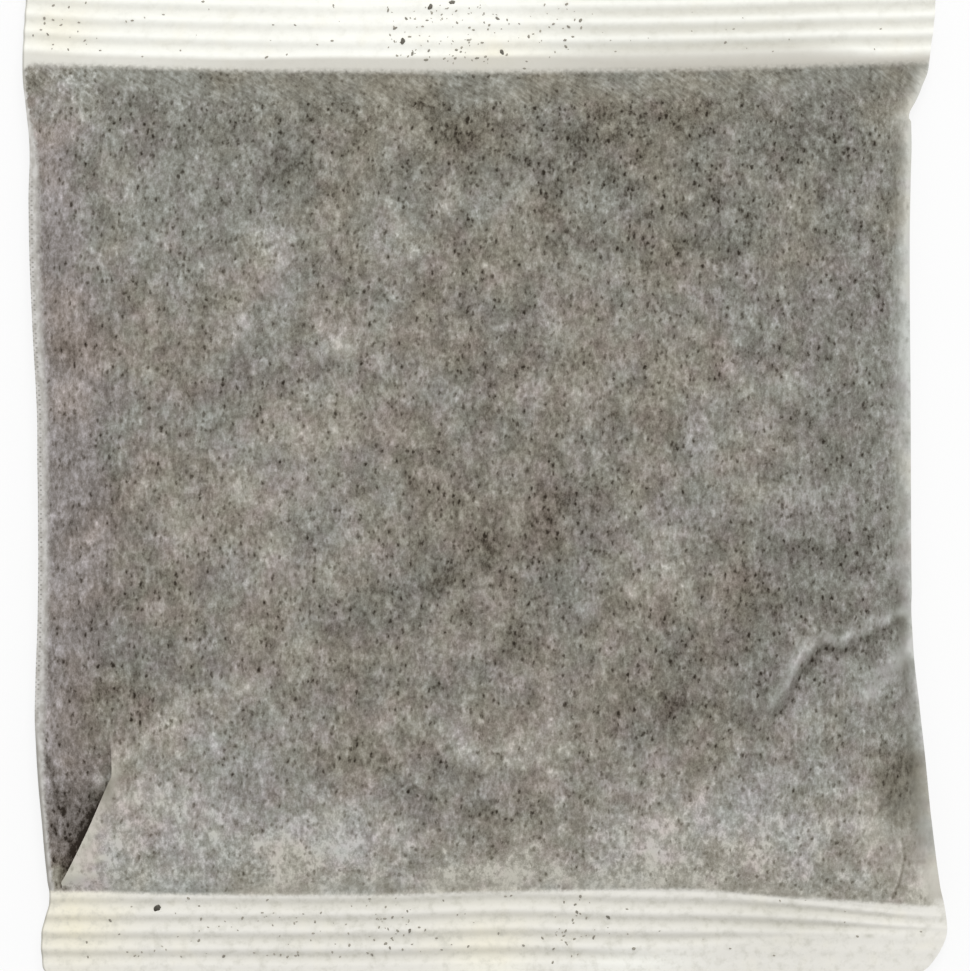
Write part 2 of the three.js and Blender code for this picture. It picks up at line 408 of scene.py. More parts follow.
def unevenness(x, v):
    near_ends = np.exp(-np.maximum(v, 0) / GATHER_RUN) + np.exp(-np.maximum(TOP_SEAL - v, 0) / GATHER_RUN)
    in_body = fade(v, 0, 2) * fade(v, TOP_SEAL, TOP_SEAL - 2)
    gathers = GATHER_HEIGHT * lumps(x, 0 * v, size=3.0, seed=11) * near_ends * in_body
    body = LUMP_HEIGHT * lumps(x, v, size=7.0, seed=3) + RIPPLE_HEIGHT * lumps(x, v, size=2.2, seed=4)
    seal_wave = SEAL_WAVE_HEIGHT * lumps(x, 0 * v, size=22.0, seed=5) * np.maximum(*from_inner_line(v))
    return gathers + fill_share(x, v) * body + seal_wave


print("lump at the crown:", round(float(unevenness(np.array(0.0), np.array(HALF_WAY_UP))), 2), "mm")

# %% [markdown]
# ## The paper mesh
# Rows run across the pouch and bunch where the form is sharp: over every rib, along both seal lines and at
# the wrinkle. On the front, a block of columns left of the tuck slides under the raised fold, so that the
# fold really overlaps. The back is plainer and has a third of the front's columns.

# %% Rows
MARGIN_ROWS = 6
RIB_ROWS = 13 * RIB_COUNT
BOTTOM_CLEAR_ROWS = 3
TOP_CLEAR_ROWS = 8
ROWS_BELOW_WRINKLE = 62
ROWS_ABOVE_WRINKLE = 134
ROW_BUNCHING = 0.6


def bunched(start, end, count, bunching=0):
    """Places from the start up to the end, closer together near both."""
    t = np.arange(count) / count
    return start + (end - start) * (t - bunching * np.sin(2 * np.pi * t) / (2 * np.pi))


rows = np.concatenate([
    bunched(BOTTOM_CUT, BOTTOM_RIBS - RIB_BAND, MARGIN_ROWS),
    bunched(BOTTOM_RIBS - RIB_BAND, BOTTOM_RIBS, RIB_ROWS),
    bunched(BOTTOM_RIBS, 0, BOTTOM_CLEAR_ROWS),
    bunched(0, WRINKLE_ROW, ROWS_BELOW_WRINKLE, ROW_BUNCHING),
    bunched(WRINKLE_ROW, TOP_SEAL, ROWS_ABOVE_WRINKLE, ROW_BUNCHING),
    bunched(TOP_SEAL, TOP_RIBS, TOP_CLEAR_ROWS),
    bunched(TOP_RIBS, TOP_RIBS + RIB_BAND, RIB_ROWS),
    bunched(TOP_RIBS + RIB_BAND, TOP_CUT, MARGIN_ROWS),
    [TOP_CUT],
])[:, None]
print("rows:", len(rows))

# %% Columns
TUCK_COLUMNS = 24
FOLD_COLUMNS = 3
MAIN_COLUMNS = 177
LIP_COLUMNS = 5
COLUMN_BUNCHING = 0.5
left, right, crease = left_edge(rows), right_edge(rows), tuck_crease(rows)
tucked = tuck_strength(rows)
under_tip = crease - TUCK_GAP + (TUCK_GAP + TUCK_OVERLAP) * tucked
lip_line = right - FOLD_LIP_WIDTH

x_tuck = left + (under_tip - left) * np.linspace(0, 1, TUCK_COLUMNS)
turn = np.arange(1, FOLD_COLUMNS + 1) / (FOLD_COLUMNS + 1)
x_fold = under_tip + (crease - under_tip) * turn - TUCK_ROUNDING * tucked * np.sin(np.pi * turn)
x_main = crease + (lip_line - crease) * bunched(0, 1, MAIN_COLUMNS, COLUMN_BUNCHING)
x_lip = lip_line + FOLD_LIP_WIDTH * np.linspace(0, 1, LIP_COLUMNS + 1)
print("front columns:", sum(part.shape[1] for part in (x_tuck, x_fold, x_main, x_lip)))

# %% Front and back points
BACK_COLUMNS = 70


def with_height(x, z, v=rows):
    return np.stack([x, v + row_stray(x, v), z + unevenness(x, v)], axis=-1)


tuck_part = with_height(x_tuck, front_height(x_tuck, rows, False))
main_x = np.concatenate([x_main, x_lip], axis=1)
main_part = with_height(main_x, front_height(main_x, rows, True))
low, high = tuck_part[:, -1:, 2], main_part[:, :1, 2]
fold_y = np.repeat(main_part[:, :1, 1], FOLD_COLUMNS, axis=1)
fold_part = np.stack([x_fold, fold_y, low + (high - low) * ease(turn)], axis=-1)
front = np.concatenate([tuck_part, fold_part, main_part], axis=1)

back_x = left + (right - left) * np.linspace(0, 1, BACK_COLUMNS)
back = with_height(back_x, back_height(back_x, rows))
back[:, :, 2] = np.maximum(back[:, :, 2], 0)
print("front points:", front[..., 0].size, "back points:", back[..., 0].size)

# %% [markdown]
# ## One closed skin
# The real panels are sealed all round, so the mesh is one closed skin too. Faces join the two grids along
# the side seal and the fold, and narrow strips close both cut ends, where the front has more points than
# the back. A boolean union of two sheets would be less work, but it would lose the tidy rows.

# %% Faces of both panels
def grid_faces(index, flip):
    corners = [index[:-1, :-1], index[:-1, 1:], index[1:, 1:], index[1:, :-1]]
    quads = np.stack(corners[::-1] if flip else corners, axis=-1)
    return quads.reshape(-1, 4).tolist()


def cut_edge_faces(front_row, back_row, flip):
    """Closes a cut edge between two rows that have different numbers of points."""
    shares = [np.linspace(0, 1, len(row)) for row in (front_row, back_row)]
    faces, i, j = [], 0, 0
    while i < len(front_row) - 1 or j < len(back_row) - 1:
        next_front = shares[0][i + 1] if i < len(front_row) - 1 else 2
        next_back = shares[1][j + 1] if j < len(back_row) - 1 else 2
        if next_front <= next_back:
            face = [front_row[i], front_row[i + 1], back_row[j]]
            i += 1
        else:
            face = [front_row[i], back_row[j + 1], back_row[j]]
            j += 1
        faces.append(face[::-1] if flip else face)
    return faces


front_index = np.arange(front[..., 0].size).reshape(front.shape[:2])
back_index = front_index.size + np.arange(back[..., 0].size).reshape(back.shape[:2])
left_rim = np.stack([back_index[:, 0], front_index[:, 0]], axis=1)
right_rim = np.stack([front_index[:, -1], back_index[:, -1]], axis=1)
faces = grid_faces(front_index, False) + grid_faces(back_index, True)
faces += grid_faces(left_rim, False) + grid_faces(right_rim, False)
faces += cut_edge_faces(front_index[0].tolist(), back_index[0].tolist(), True)
faces += cut_edge_faces(front_index[-1].tolist(), back_index[-1].tolist(), False)
print("faces:", len(faces))

# %% The pouch as one object
SHARP_FOLD_DEG = 60
points = np.concatenate([front.reshape(-1, 3), back.reshape(-1, 3)])
cad_middle = np.array(pouch_low + pouch_high) / 2 / MM
outline_x = np.array([left_edge(rows).min(), right_edge(rows).max()])
outline_y = np.array([points[:, 1].min(), points[:, 1].max()])
shift = np.array([cad_middle[0] - outline_x.mean(), cad_middle[1] - outline_y.mean(), 0])

pouch_mesh = bpy.data.meshes.new("pouch")
pouch_mesh.from_pydata(((points + shift) * MM).tolist(), [], faces)
pouch_mesh.validate()
pouch_mesh.shade_smooth()
pouch_mesh.set_sharp_from_angle(angle=math.radians(SHARP_FOLD_DEG))
pouch = bpy.data.objects.new("pouch", pouch_mesh)
bpy.context.scene.collection.objects.link(pouch)
triangles = sum(len(polygon.vertices) - 2 for polygon in pouch_mesh.polygons)
print("pouch triangles:", triangles, "shift from the local origin in mm:", shift.round(2).tolist())

# %% [markdown]
# ## Where the coffee shows
# Filter paper is translucent: it looks dark where it is pressed against the grounds and pale where it
# stands off them. A number at each point of the mesh says how pale the paper is there. Soft patches, the
# folds and the edges add up to it, and the shader roughens it afterwards. Painting an image would be
# quicker, but numbers on the mesh follow every later change of its shape.

# %% Soft patches and strokes
def patch(x, v, middle, half_size, turn_deg=0):
    c, s = math.cos(math.radians(turn_deg)), math.sin(math.radians(turn_deg))
    dx, dv = x - middle[0], v - middle[1]
    along, across = (dx * c + dv * s) / half_size[0], (dv * c - dx * s) / half_size[1]
    return np.exp(-(along**2) - across**2)


def stroke(x, v, path, width):
    """Falls off from 1 on a line through the path's points."""
    nearest = np.full(np.broadcast(x, v).shape, np.inf)
    for (x0, v0), (x1, v1) in zip(path[:-1], path[1:]):
        length = (x1 - x0) ** 2 + (v1 - v0) ** 2
        t = np.clip(((x - x0) * (x1 - x0) + (v - v0) * (v1 - v0)) / length, 0, 1)
        nearest = np.minimum(nearest, np.hypot(x - x0 - t * (x1 - x0), v - v0 - t * (v1 - v0)))
    return hump(nearest, 0, width)


def patches(x, v, table):
    """The sum of the table's patches: middle (x, v) and half size in mm, and strength."""
    return sum(strength * patch(x, v, middle, half_size) for middle, half_size, strength in table)


print("a patch fades to", round(float(patch(2, 0, (0, 0), (1, 1))), 3), "at twice its half size")

# %% Pale and dark places
# Middle (x, v) and half size in mm, turn in degrees, paleness
PALE_PATCHES = [
    ((-34, 10.7), (7, 4.6), 0, 0.20), ((-17, 6.6), (6.4, 4.6), 0, 0.14), ((21.5, 7), (6.4, 3.6), 25, 0.22),
    ((33, 10), (4, 4), 0, 0.15), ((7.7, 17), (5.2, 4), 0, 0.14), ((-0.2, 18.5), (4.6, 3.5), 0, 0.14),
    ((-23, 73.3), (4, 5.2), 0, 0.18), ((-10, 75), (4, 4.5), 0, 0.15), ((-15, 64.5), (4.6, 2.6), 0, 0.14),
    ((-27.7, 65.8), (2.6, 2.6), 0, 0.10), ((-20, 51.8), (5.2, 4.6), 0, 0.13), ((-27, 47.8), (4, 4), 0, 0.10),
    ((-34, 42.6), (3, 3), 0, 0.10), ((-22.4, 37.4), (3.5, 3), 0, 0.12), ((-36.4, 80.3), (6.4, 5.2), 0, 0.08),
    ((-41, 73.9), (2, 2), 0, 0.10), ((1.9, 79.7), (4.6, 2.6), 0, 0.10), ((22.2, 40.2), (4, 8), -25, 0.12),
    ((26.3, 66.9), (2.6, 2.6), 0, 0.10), ((37.3, 59.4), (2, 2), 0, 0.12), ((31, 53.6), (5.8, 5.8), 0, 0.08),
    ((36.1, 45.5), (3.5, 3), 0, 0.12), ((-33, 17.6), (5.8, 4.6), 35, 0.14), ((42.5, 21), (7, 5.8), 0, 0.08),
    ((38, 4.5), (12, 4.5), 0, 0.13), ((-25, 4.4), (19, 4), 0, 0.16), ((-12.5, 56), (4.6, 4.6), 0, 0.12),
    ((-49, 50), (4.5, 40), 0, 0.09), ((-19, 24), (12, 14), 0, 0.07), ((11, 2.5), (14, 3.5), 0, 0.19),
    ((25, 14), (16, 4), 0, 0.11), ((-12, 39), (5, 5), 0, 0.06), ((52.6, 1), (2.4, 3), 0, 0.22),
    ((-36, 62), (9, 15), 0, 0.05), ((-16.5, 45), (5, 3.5), 0, 0.08), ((-29, 39.5), (5, 3), 0, 0.08),
    ((21, 63), (4, 5), 0, 0.06), ((13.5, 65.5), (4, 4), 0, 0.08), ((-25, 16.5), (4.5, 4.5), 0, 0.10),
    ((43.5, 14), (4, 7), 0, 0.07), ((-40.4, 6), (4, 5), 0, 0.09), ((-47, 90), (5, 5), 0, 0.07),
    ((43.6, 9), (3, 2.4), 0, 0.14), ((46.8, 6.6), (2.4, 2), 0, 0.13), ((48, 17.2), (2.6, 2), 0, 0.09),
    ((-40.8, 10.2), (1.6, 2.6), 0, 0.14), ((-44, 1.3), (4, 1.2), 0, 0.16), ((-44, 95), (5, 1.6), 0, 0.12),
    ((27, 93.5), (8, 2), 0, 0.08),
]
DARK_PATCHES = [
    ((13.5, 87.2), (5.2, 3.5), 0, 0.13), ((-0.4, 89), (3.5, 3.5), 0, 0.09),
    ((26.3, 90.7), (5.8, 2.9), 0, 0.09), ((39, 87.2), (4.6, 4), 0, 0.09), ((25, 74), (6, 5), 0, 0.10),
    ((-3.2, 37), (13, 3), 22, 0.16), ((8.3, 46), (2.9, 2.9), 0, 0.12), ((4.8, 30.4), (2.6, 2.6), 0, 0.12),
    ((22.2, 21.7), (3.2, 3.2), 0, 0.17), ((35.6, 36.2), (6.4, 5.2), 0, 0.12),
    ((30.3, 31.6), (2.6, 2.6), 0, 0.10), ((-44, 45.5), (2.6, 2.6), 0, 0.12),
    ((-46.8, 63.5), (2.6, 2.6), 0, 0.10), ((-40, 33.9), (2.9, 2.9), 0, 0.09),
    ((-41, 23.4), (4, 2.4), 0, 0.09), ((-6.2, 10.7), (2.6, 2.6), 0, 0.13), ((3, 7.8), (5.2, 2.9), 0, 0.14),
    ((10.6, 5.5), (2.4, 2.4), 0, 0.10), ((-15.5, 22.3), (5.2, 4), 0, 0.09), ((49, 12.4), (3.2, 4), 0, 0.18),
    ((42, 61.1), (2.9, 2.9), 0, 0.07), ((41.4, 50.1), (2.4, 2.4), 0, 0.09),
    ((-20, 84.3), (3.5, 3.5), 0, 0.07), ((1.9, 62.3), (5.8, 3.5), 0, 0.07),
    ((-3.5, 44), (5, 4), 0, 0.10), ((-32.9, 58.2), (4.6, 2.9), 0, 0.06),
    ((-48, 7.5), (1.5, 5.5), -8, 0.25), ((9, 86), (28, 7), 0, 0.06), ((22, 30), (3, 4), 0, 0.08),
    ((30.5, 22.5), (4.5, 4), 0, 0.10), ((8.3, 81), (3, 3), 0, 0.06), ((0, 74.5), (4, 4), 0, 0.08),
    ((-37.8, 7), (1.6, 2.4), 0, 0.12), ((-41, 13.8), (1, 1.2), 0, 0.10), ((44, 4.5), (2, 2.6), 0, 0.08),
    ((44, 0.6), (1.2, 1.2), 0, 0.14),
]
EDGE_RIDGE = [(45.6, 22.8), (47.4, 25.4), (50.7, 28.4)]
# Path of (x, v) points and width in mm, and paleness
STROKES = [
    ([(-41.6, 14.2), (-38, 17.5), (-33, 22.3)], 1.0, 0.13),
    (EDGE_RIDGE, 1.0, 0.18),
    ([(43.4, 26.0), (46.0, 26.2)], 0.9, 0.10),
    ([(50.2, 24.9), (50.5, 26.4)], 0.8, -0.09),
    ([(46.4, 13.7), (51.8, 15.2)], 0.8, -0.09),
    ([(-48.5, 90.7), (-43.3, 84.9)], 0.9, 0.09),
]


def placed_paleness(x, v):
    total = np.zeros(np.broadcast(x, v).shape)
    for sign, table in ((1, PALE_PATCHES), (-1, DARK_PATCHES)):
        for middle, half_size, turn_deg, strength in table:
            total += sign * strength * patch(x, v, middle, half_size, turn_deg)
    for path, width, strength in STROKES:
        total += strength * stroke(x, v, path, width)
    return total


print("patches:", len(PALE_PATCHES) + len(DARK_PATCHES), "strokes:", len(STROKES))

# %% [markdown]
# ## Paleness and painted shade of the folds
# A fold lifts the paper off the grounds, so the tuck's raised edge, the wrinkle's ridge and the folded
# right edge are pale, and the groove under each is dark. Part of it is painted light: a painted shadow under
# the tuck's raised edge, a painted highlight on the wrinkle's ridge with painted shade in its groove, and
# paleness on the folded edge that offsets the shade of its slope. Rules that follow the same lines as the
# mesh give this better than patches, because the paleness then sits exactly on the form.

# %% Nearness to the folds
FLAP_BAND = 1.2
FLAP_BAND_AT_FOOT = 2.2
ON_CREASE = -0.001
# How pale the folded edge is, and how far in it fades, in mm, at places V up the pouch
# Partly the edge standing off the grounds, partly painted light that offsets the shade of its slope
lip_paleness = curve_through([
    (4, 0.18), (12, 0.36), (18, 0.45), (24, 0.45), (30, 0.4), (49, 0.44), (72, 0.56), (TOP_SEAL, 0.57),
])
lip_reach = curve_through([
    (4, 1.6), (12, 1.8), (24, 1.4), (49, 3.0), (72, 3.0), (86, 1.9), (91, 2.3), (TOP_SEAL, 1.8),
])


def flap_nearness(x, v):
    """1 on the tuck's raised edge, falling off over a band that widens towards the foot."""
    band = (FLAP_BAND + FLAP_BAND_AT_FOOT * fade(v, 9, 2)) * (1 + 0.2 * lumps(x, v, size=1.0, seed=41))
    from_crease = x - tuck_crease(v)
    near = np.exp(-((np.maximum(from_crease, 0) / band) ** 3))
    return tuck_strength(v) * near * (from_crease > ON_CREASE)


def ridge_nearness(x, v):
    return wrinkle_strength(x) * hump(past_wrinkle(x, v), 0.8, 0.9)


def groove_nearness(x, v):
    return wrinkle_strength(x) * hump(past_wrinkle(x, v), -0.35, 0.65)


print("folded edge half way up:", round(float(lip_paleness(HALF_WAY_UP)), 2), "paler than the body")

# %% Paleness of each panel
# Middle (x, v) and half size in mm of places on the tuck
TUCK_FOOT_SPOT = (-48.6, 1.7), (1.1, 1.4)
TUCK_TURN_SPOT = (-43.2, 12.8), (0.9, 0.9)
TUCK_TURN_SHADE = (-42.4, 12.4), (1.0, 1.5)


def front_paleness(x, y, v):
    from_right = right_edge(v) - x
    low_band = 0.12 * fade(y, 15, 6) + 0.09 * fade(v, 3.5, 1)
    # Ridge paler, groove darker: paper off and on the grounds, plus painted highlight and painted shade
    wrinkle = 0.28 * ridge_nearness(x, v) - 0.2 * groove_nearness(x, v)
    wrinkle *= (0.95 + 0.25 * lumps(x, v, size=0.9, seed=31)) * fade(from_right, 0, 1.1)
    # Folded edge: off the grounds, and painted light against the shade of its slope
    fold_lip = lip_paleness(v) * np.maximum(1 - from_right / lip_reach(v), 0) ** 1.2
    seal_line = -0.05 * hump(v, TOP_SEAL - 0.4, 0.35)
    flap = 0.22 * flap_nearness(x, v) - 0.32 * patch(x, y, *TUCK_TURN_SHADE)
    return placed_paleness(x, y) + low_band + wrinkle + fold_lip + seal_line + flap


def tuck_paleness(x, y, v):
    to_crease = np.maximum(tuck_crease(v) - x, 0)
    below_turn = 0.35 + 0.65 * fade(v, 13.2, 11.4)
    # Dark along the crease: painted shadow of the raised edge, and paper pressed on the grounds
    shade = 0.58 * tuck_strength(v) * below_turn * hump(to_crease, 0, 1.6)
    turned_up = 0.3 * patch(x, y, *TUCK_TURN_SPOT) + 0.45 * patch(x, y, *TUCK_FOOT_SPOT)
    return placed_paleness(x, y) - shade + turned_up


front_x, front_y = front[..., 0], front[..., 1]
front_v = np.repeat(rows, front.shape[1], axis=1)
back_x, back_y = back[..., 0], back[..., 1]
back_v = np.repeat(rows, back.shape[1], axis=1)
paleness = front_paleness(front_x, front_y, front_v)
under = np.s_[:, :TUCK_COLUMNS + 1]
paleness[under] = tuck_paleness(front_x[under], front_y[under], front_v[under])
back_paleness = 0.1 * lumps(back_x, back_y, size=6.0, seed=21)
print("paleness from", round(float(paleness.min()), 2), "to", round(float(paleness.max()), 2))

# %% [markdown]
# ## Edge of the coffee
# The grounds end in a soft line along both seals, and at the corners they don't quite reach the edges. A
# second number says whether coffee lies behind the paper. It could be read off the height of the fill, but
# the real line wanders a little from the seal, so it has its own rule.

# %% Coffee behind the paper
FILL_CORNER = 1.6
# How far above the bottom seal's inner line the coffee begins, as V at places X
fill_foot = curve_through([
    (-46, 0.3), (-37, 0.04), (-26, -0.13), (-15, -0.2), (-3, -0.28), (8, -0.18), (20, 0.52), (34, 0.3),
    (40, 0.55), (52, 0.9),
])


def coffee_behind(x, v):
    """1 over the fill, with a rounded corner at the upper left and a thin one at the lower right."""
    at_bottom = fade(v - fill_foot(x), -0.5, 0.1)
    head = TOP_SEAL + 0.45 - 0.17 * fade(x, -14, -26)
    at_top = fade(v, head, head - 1.1)
    inside_left = np.maximum(FILL_CORNER - (x - left_edge(v) - SIDE_SEAL_WIDTH / 2), 0)
    inside_top = np.clip(FILL_CORNER - (TOP_SEAL - v), 0, FILL_CORNER)
    rounding = fade(np.hypot(inside_left, inside_top), 1.35 * FILL_CORNER, FILL_CORNER)
    pulled_off = 0.8 * fade(right_edge(v) - x, 2.4, 0) * fade(v, 6, 1)
    return at_bottom * at_top * (1 - pulled_off) * np.where(v > TOP_SEAL - 2 * FILL_CORNER, rounding, 1)


print("coffee in the middle:", float(coffee_behind(0.0, HALF_WAY_UP)))

# %% [markdown]
# ## Speckle and hue
# Where the paper stands off the grounds, it blurs them: the speckle fades along the seals and on the folds.
# The grey also drifts in hue, rosy along the left side, olive at the ends, cool on the right and brown in
# the middle. Three more numbers carry this. A few named places and fades are enough, since noise in the
# shader breaks up their edges.

# %% Stillness and hues
# Middle (x, v) and half size in mm, and strength
STILL_PATCHES = [((-42.2, 13), (0.9, 1.8), 0.9), ((51, 4.5), (5, 6), 0.5), ((49.5, 12), (3.5, 3.5), 0.3)]
OLIVE_PATCHES = [(*TUCK_FOOT_SPOT, 1.0), ((49.5, 12), (4, 4), 0.4)]
ROSY_PATCHES = [((-45, 44), (7, 14), 0.45)]
BROWN_PATCHES = [((2, 42), (26, 34), 0.14), (*TUCK_FOOT_SPOT, 0.8), ((49, 13), (5, 5), 0.3)]
COOL_PATCHES = [((-33, 84), (13, 11), 0.5)]
CLEAREST = -0.25


def left_side(x, v):
    return fade(x - left_edge(v), 10, 3)


def stillness(x, y, v):
    """How little the grounds show as specks: 1 is smooth paper."""
    end_bands = 0.45 * fade(v, TOP_SEAL - 4.6, TOP_SEAL - 2.6) + 0.35 * fade(v, 2, 0.5)
    fold_side = 0.75 * fade(right_edge(v) - x, 3, 0.8)
    flap = 0.9 * flap_nearness(x, v) * fade(v, 0, 3)
    ridges = 0.6 * stroke(x, y, EDGE_RIDGE, 1.2) + 0.5 * ridge_nearness(x, v)
    still = end_bands + fold_side + flap + ridges + patches(x, y, STILL_PATCHES)
    return np.clip(still + CLEAREST * left_side(x, v), CLEAREST, 1)


def rosiness(x, y, v):
    """Rosy above 0, olive below."""
    flap = flap_nearness(x, v)
    at_ends = 0.3 * fade(v, TOP_SEAL - 5, TOP_SEAL - 2) + 0.4 * fade(v, 5, 1)
    up_high = 0.22 * fade(v, 70, 80)
    fold_side = 0.2 * fade(right_edge(v) - x, 8, 0)
    olive = at_ends + up_high + fold_side + patches(x, y, OLIVE_PATCHES)
    rosy = left_side(x, v) * (1 - 0.6 * fade(v, TOP_SEAL - 10, TOP_SEAL - 5)) + patches(x, y, ROSY_PATCHES)
    return rosy * (1 - flap) - olive - 0.3 * flap


def brownness(x, y, v):
    """Brown above 0, cool grey below."""
    brown = patches(x, y, BROWN_PATCHES) + 0.2 * fade(y, 8, 1) + 0.6 * flap_nearness(x, v)
    cool_right = 0.26 * fade(x, 24, 34) * fade(y, 4, 20)
    return brown - cool_right - 0.14 * left_side(x, v) - patches(x, y, COOL_PATCHES)


still = stillness(front_x, front_y, front_v)
still[under] = -0.2 * tucked
print("stillness from", round(float(still.min()), 2), "to", round(float(still.max()), 2))

# %% [markdown]
# ## Marks and painted shade of the seals
# The bare paper of the seals is marked: grey in the valleys of the ribs, which is painted shade with some
# dust, most on the right of the top seal, a few yellowed spots, and whiter places along the bottom cut. All
# the numbers then go onto the mesh as attributes, which the shader reads by name.

# %% Grey of the ribs
# Middle (x, v) and half size in mm, and strength
YELLOWED_SPOTS = [
    ((-48, 100), (4, 3), 0.5), ((2, 97), (4.5, 2.2), 0.45), ((-46.5, -3.5), (5.5, 5), 0.8),
    ((1.5, -6.5), (5, 3.5), 0.6),
]
WHITER_SPOTS = [((18.5, -8.3), (7, 1.8), 0.8), ((2, -8.7), (4.5, 1.6), 0.9)]
GREY_SPOTS = [((36, -3.2), (8, 3.5), 0.6), ((-10, -1.4), (15, 0.8), 0.3)]
STAINS = [((45.8, -5.1), (0.5, 0.25), 1.6)]


def rib_shade_and_stains(x, y, v):
    """How grey the ribs are. The middle of the top seal hardly shows them, and its right shows them best."""
    in_top_seal = v > TOP_SEAL
    faint_middle = 0.8 * hump(x, -9, 17) * in_top_seal
    faint_left = 0.35 * fade(x, -20, -32) * (1 - faint_middle)
    # The valleys' grey is painted shade with some dust; the stains are real
    valleys = -rib_wave(v) * rib_strength(x, v) * (1 - faint_middle - faint_left)
    grey_right = fade(x, 2, 16) * (1 - 0.8 * fade(x, 34, 48)) * in_top_seal
    grey_top = grey_right * (0.5 - 0.3 * fade(v, TOP_RIBS, TOP_RIBS + 6))
    return valleys * (1 + 0.3 * grey_right) + grey_top + patches(x, v, GREY_SPOTS) + patches(x, y, STAINS)


front_shade_and_stains = rib_shade_and_stains(front_x, front_y, front_v)
print("grey of the ribs up to", round(float(front_shade_and_stains.max()), 2))

# %% Numbers on the mesh
def add_attribute(mesh, name, front_values, back_values):
    values = np.concatenate([front_values.ravel(), back_values.ravel()]).astype(np.float32)
    mesh.attributes.new(name, "FLOAT", "POINT").data.foreach_set("value", values)


add_attribute(pouch_mesh, "paleness", paleness, back_paleness)
add_attribute(pouch_mesh, "coffee", coffee_behind(front_x, front_v), coffee_behind(back_x, back_v))
add_attribute(pouch_mesh, "stillness", still, 0 * back_x)
add_attribute(pouch_mesh, "rosiness", rosiness(front_x, front_y, front_v), 0 * back_x)
add_attribute(pouch_mesh, "brownness", brownness(front_x, front_y, front_v), 0 * back_x)
add_attribute(pouch_mesh, "yellowing", patches(front_x, front_y, YELLOWED_SPOTS), 0 * back_x)
add_attribute(pouch_mesh, "whiteness", patches(front_x, front_y, WHITER_SPOTS), 0 * back_x)
add_attribute(pouch_mesh, "rib_shade_and_stains", front_shade_and_stains, rib_shade_and_stains(back_x, back_y, back_v))
add_attribute(pouch_mesh, "up_the_pouch", front_v, back_v)
add_attribute(pouch_mesh, "from_left_edge", front_x - left_edge(front_v), back_x - left_edge(back_v))
print("attributes:", [attribute.name for attribute in pouch_mesh.attributes])

# %% [markdown]
# ## Shader helpers
# Materials here are sums of many small masks. Short helpers keep that readable: the first set or link a
# socket, do sums, remap a value and blend two colours. The others make noise and scattered spots of a size
# that is given in millimetres. Building the nodes by hand in the editor gives the same, but can't be rerun.

# %% Node helpers
def feed(tree, socket, value):
    if isinstance(value, bpy.types.NodeSocket):
        tree.links.new(value, socket)
    else:
        socket.default_value = value


def calculate(tree, operation, first, second=0.0, third=0.0):
    node = tree.nodes.new("ShaderNodeMath")
    node.operation = operation
    for socket, value in zip(node.inputs, (first, second, third)):
        feed(tree, socket, value)
    return node.outputs[0]


def remap(tree, value, low, high, to_low=0.0, to_high=1.0, smooth=True):
    node = tree.nodes.new("ShaderNodeMapRange")
    node.interpolation_type = "SMOOTHSTEP" if smooth else "LINEAR"
    for socket, setting in zip(node.inputs, (value, low, high, to_low, to_high)):
        feed(tree, socket, setting)
    return node.outputs[0]


def add_parts(tree, total, parts):
    """Adds each value, times its share, to the total."""
    for value, share in parts:
        total = calculate(tree, "MULTIPLY_ADD", value, share, total)
    return total


def vector_maths(tree, operation, first, second):
    node = tree.nodes.new("ShaderNodeVectorMath")
    node.operation = operation
    feed(tree, node.inputs[0], first)
    feed(tree, node.inputs["Scale" if operation == "SCALE" else 1], second)
    return node.outputs["Value" if operation in ("DOT_PRODUCT", "DISTANCE") else "Vector"]


def blend_colours(tree, share, first, second, blend="MIX"):
    node = tree.nodes.new("ShaderNodeMix")
    node.data_type = "RGBA"
    node.blend_type = blend
    for socket, value in zip((node.inputs[0], node.inputs[6], node.inputs[7]), (share, first, second)):
        feed(tree, socket, value)
    return node.outputs[2]


def srgb(red, green, blue):
    """A colour as it is read off a screen, 0 to 255, turned into Blender's linear values."""
    linear = [c / 3294.6 if c <= 10.31 else ((c / 255 + 0.055) / 1.055) ** 2.4 for c in (red, green, blue)]
    return (*linear, 1.0)


print("mid grey:", [round(c, 3) for c in srgb(128, 128, 128)])

# %% Noise helpers
UNMOVED = (0, 0, 0)
PLAIN = (1, 1, 1)


def noise(tree, place, size, detail=0.0, roughness=0.5):
    node = tree.nodes.new("ShaderNodeTexNoise")
    feed(tree, node.inputs["Vector"], place)
    node.inputs["Scale"].default_value = 1 / size
    node.inputs["Detail"].default_value = detail
    node.inputs["Roughness"].default_value = roughness
    return node.outputs["Fac"]


def scattered(tree, place, size):
    """The distance to the nearest of many scattered points, over their spacing, and that point's number."""
    node = tree.nodes.new("ShaderNodeTexVoronoi")
    feed(tree, node.inputs["Vector"], place)
    node.inputs["Scale"].default_value = 1 / size
    number = tree.nodes.new("ShaderNodeSeparateColor")
    feed(tree, number.inputs[0], node.outputs["Color"])
    return node.outputs["Distance"], number.outputs["Red"]


def jostled(tree, place, size, reach):
    """The place pushed about at random, which makes round spots ragged."""
    node = tree.nodes.new("ShaderNodeTexNoise")
    feed(tree, node.inputs["Vector"], place)
    node.inputs["Scale"].default_value = 1 / size
    push = vector_maths(tree, "SUBTRACT", node.outputs["Color"], (0.5, 0.5, 0.5))
    return vector_maths(tree, "ADD", place, vector_maths(tree, "SCALE", push, reach))


def stretched(tree, place, factors=PLAIN, turn_deg=0.0, offset=UNMOVED):
    """The place for noise that is moved by the offset, turned, and longer by the factors."""
    node = tree.nodes.new("ShaderNodeMapping")
    node.vector_type = "TEXTURE"
    feed(tree, node.inputs["Vector"], place)
    node.inputs["Location"].default_value = offset
    node.inputs["Rotation"].default_value = (0, 0, math.radians(turn_deg))
    node.inputs["Scale"].default_value = factors
    return node.outputs[0]


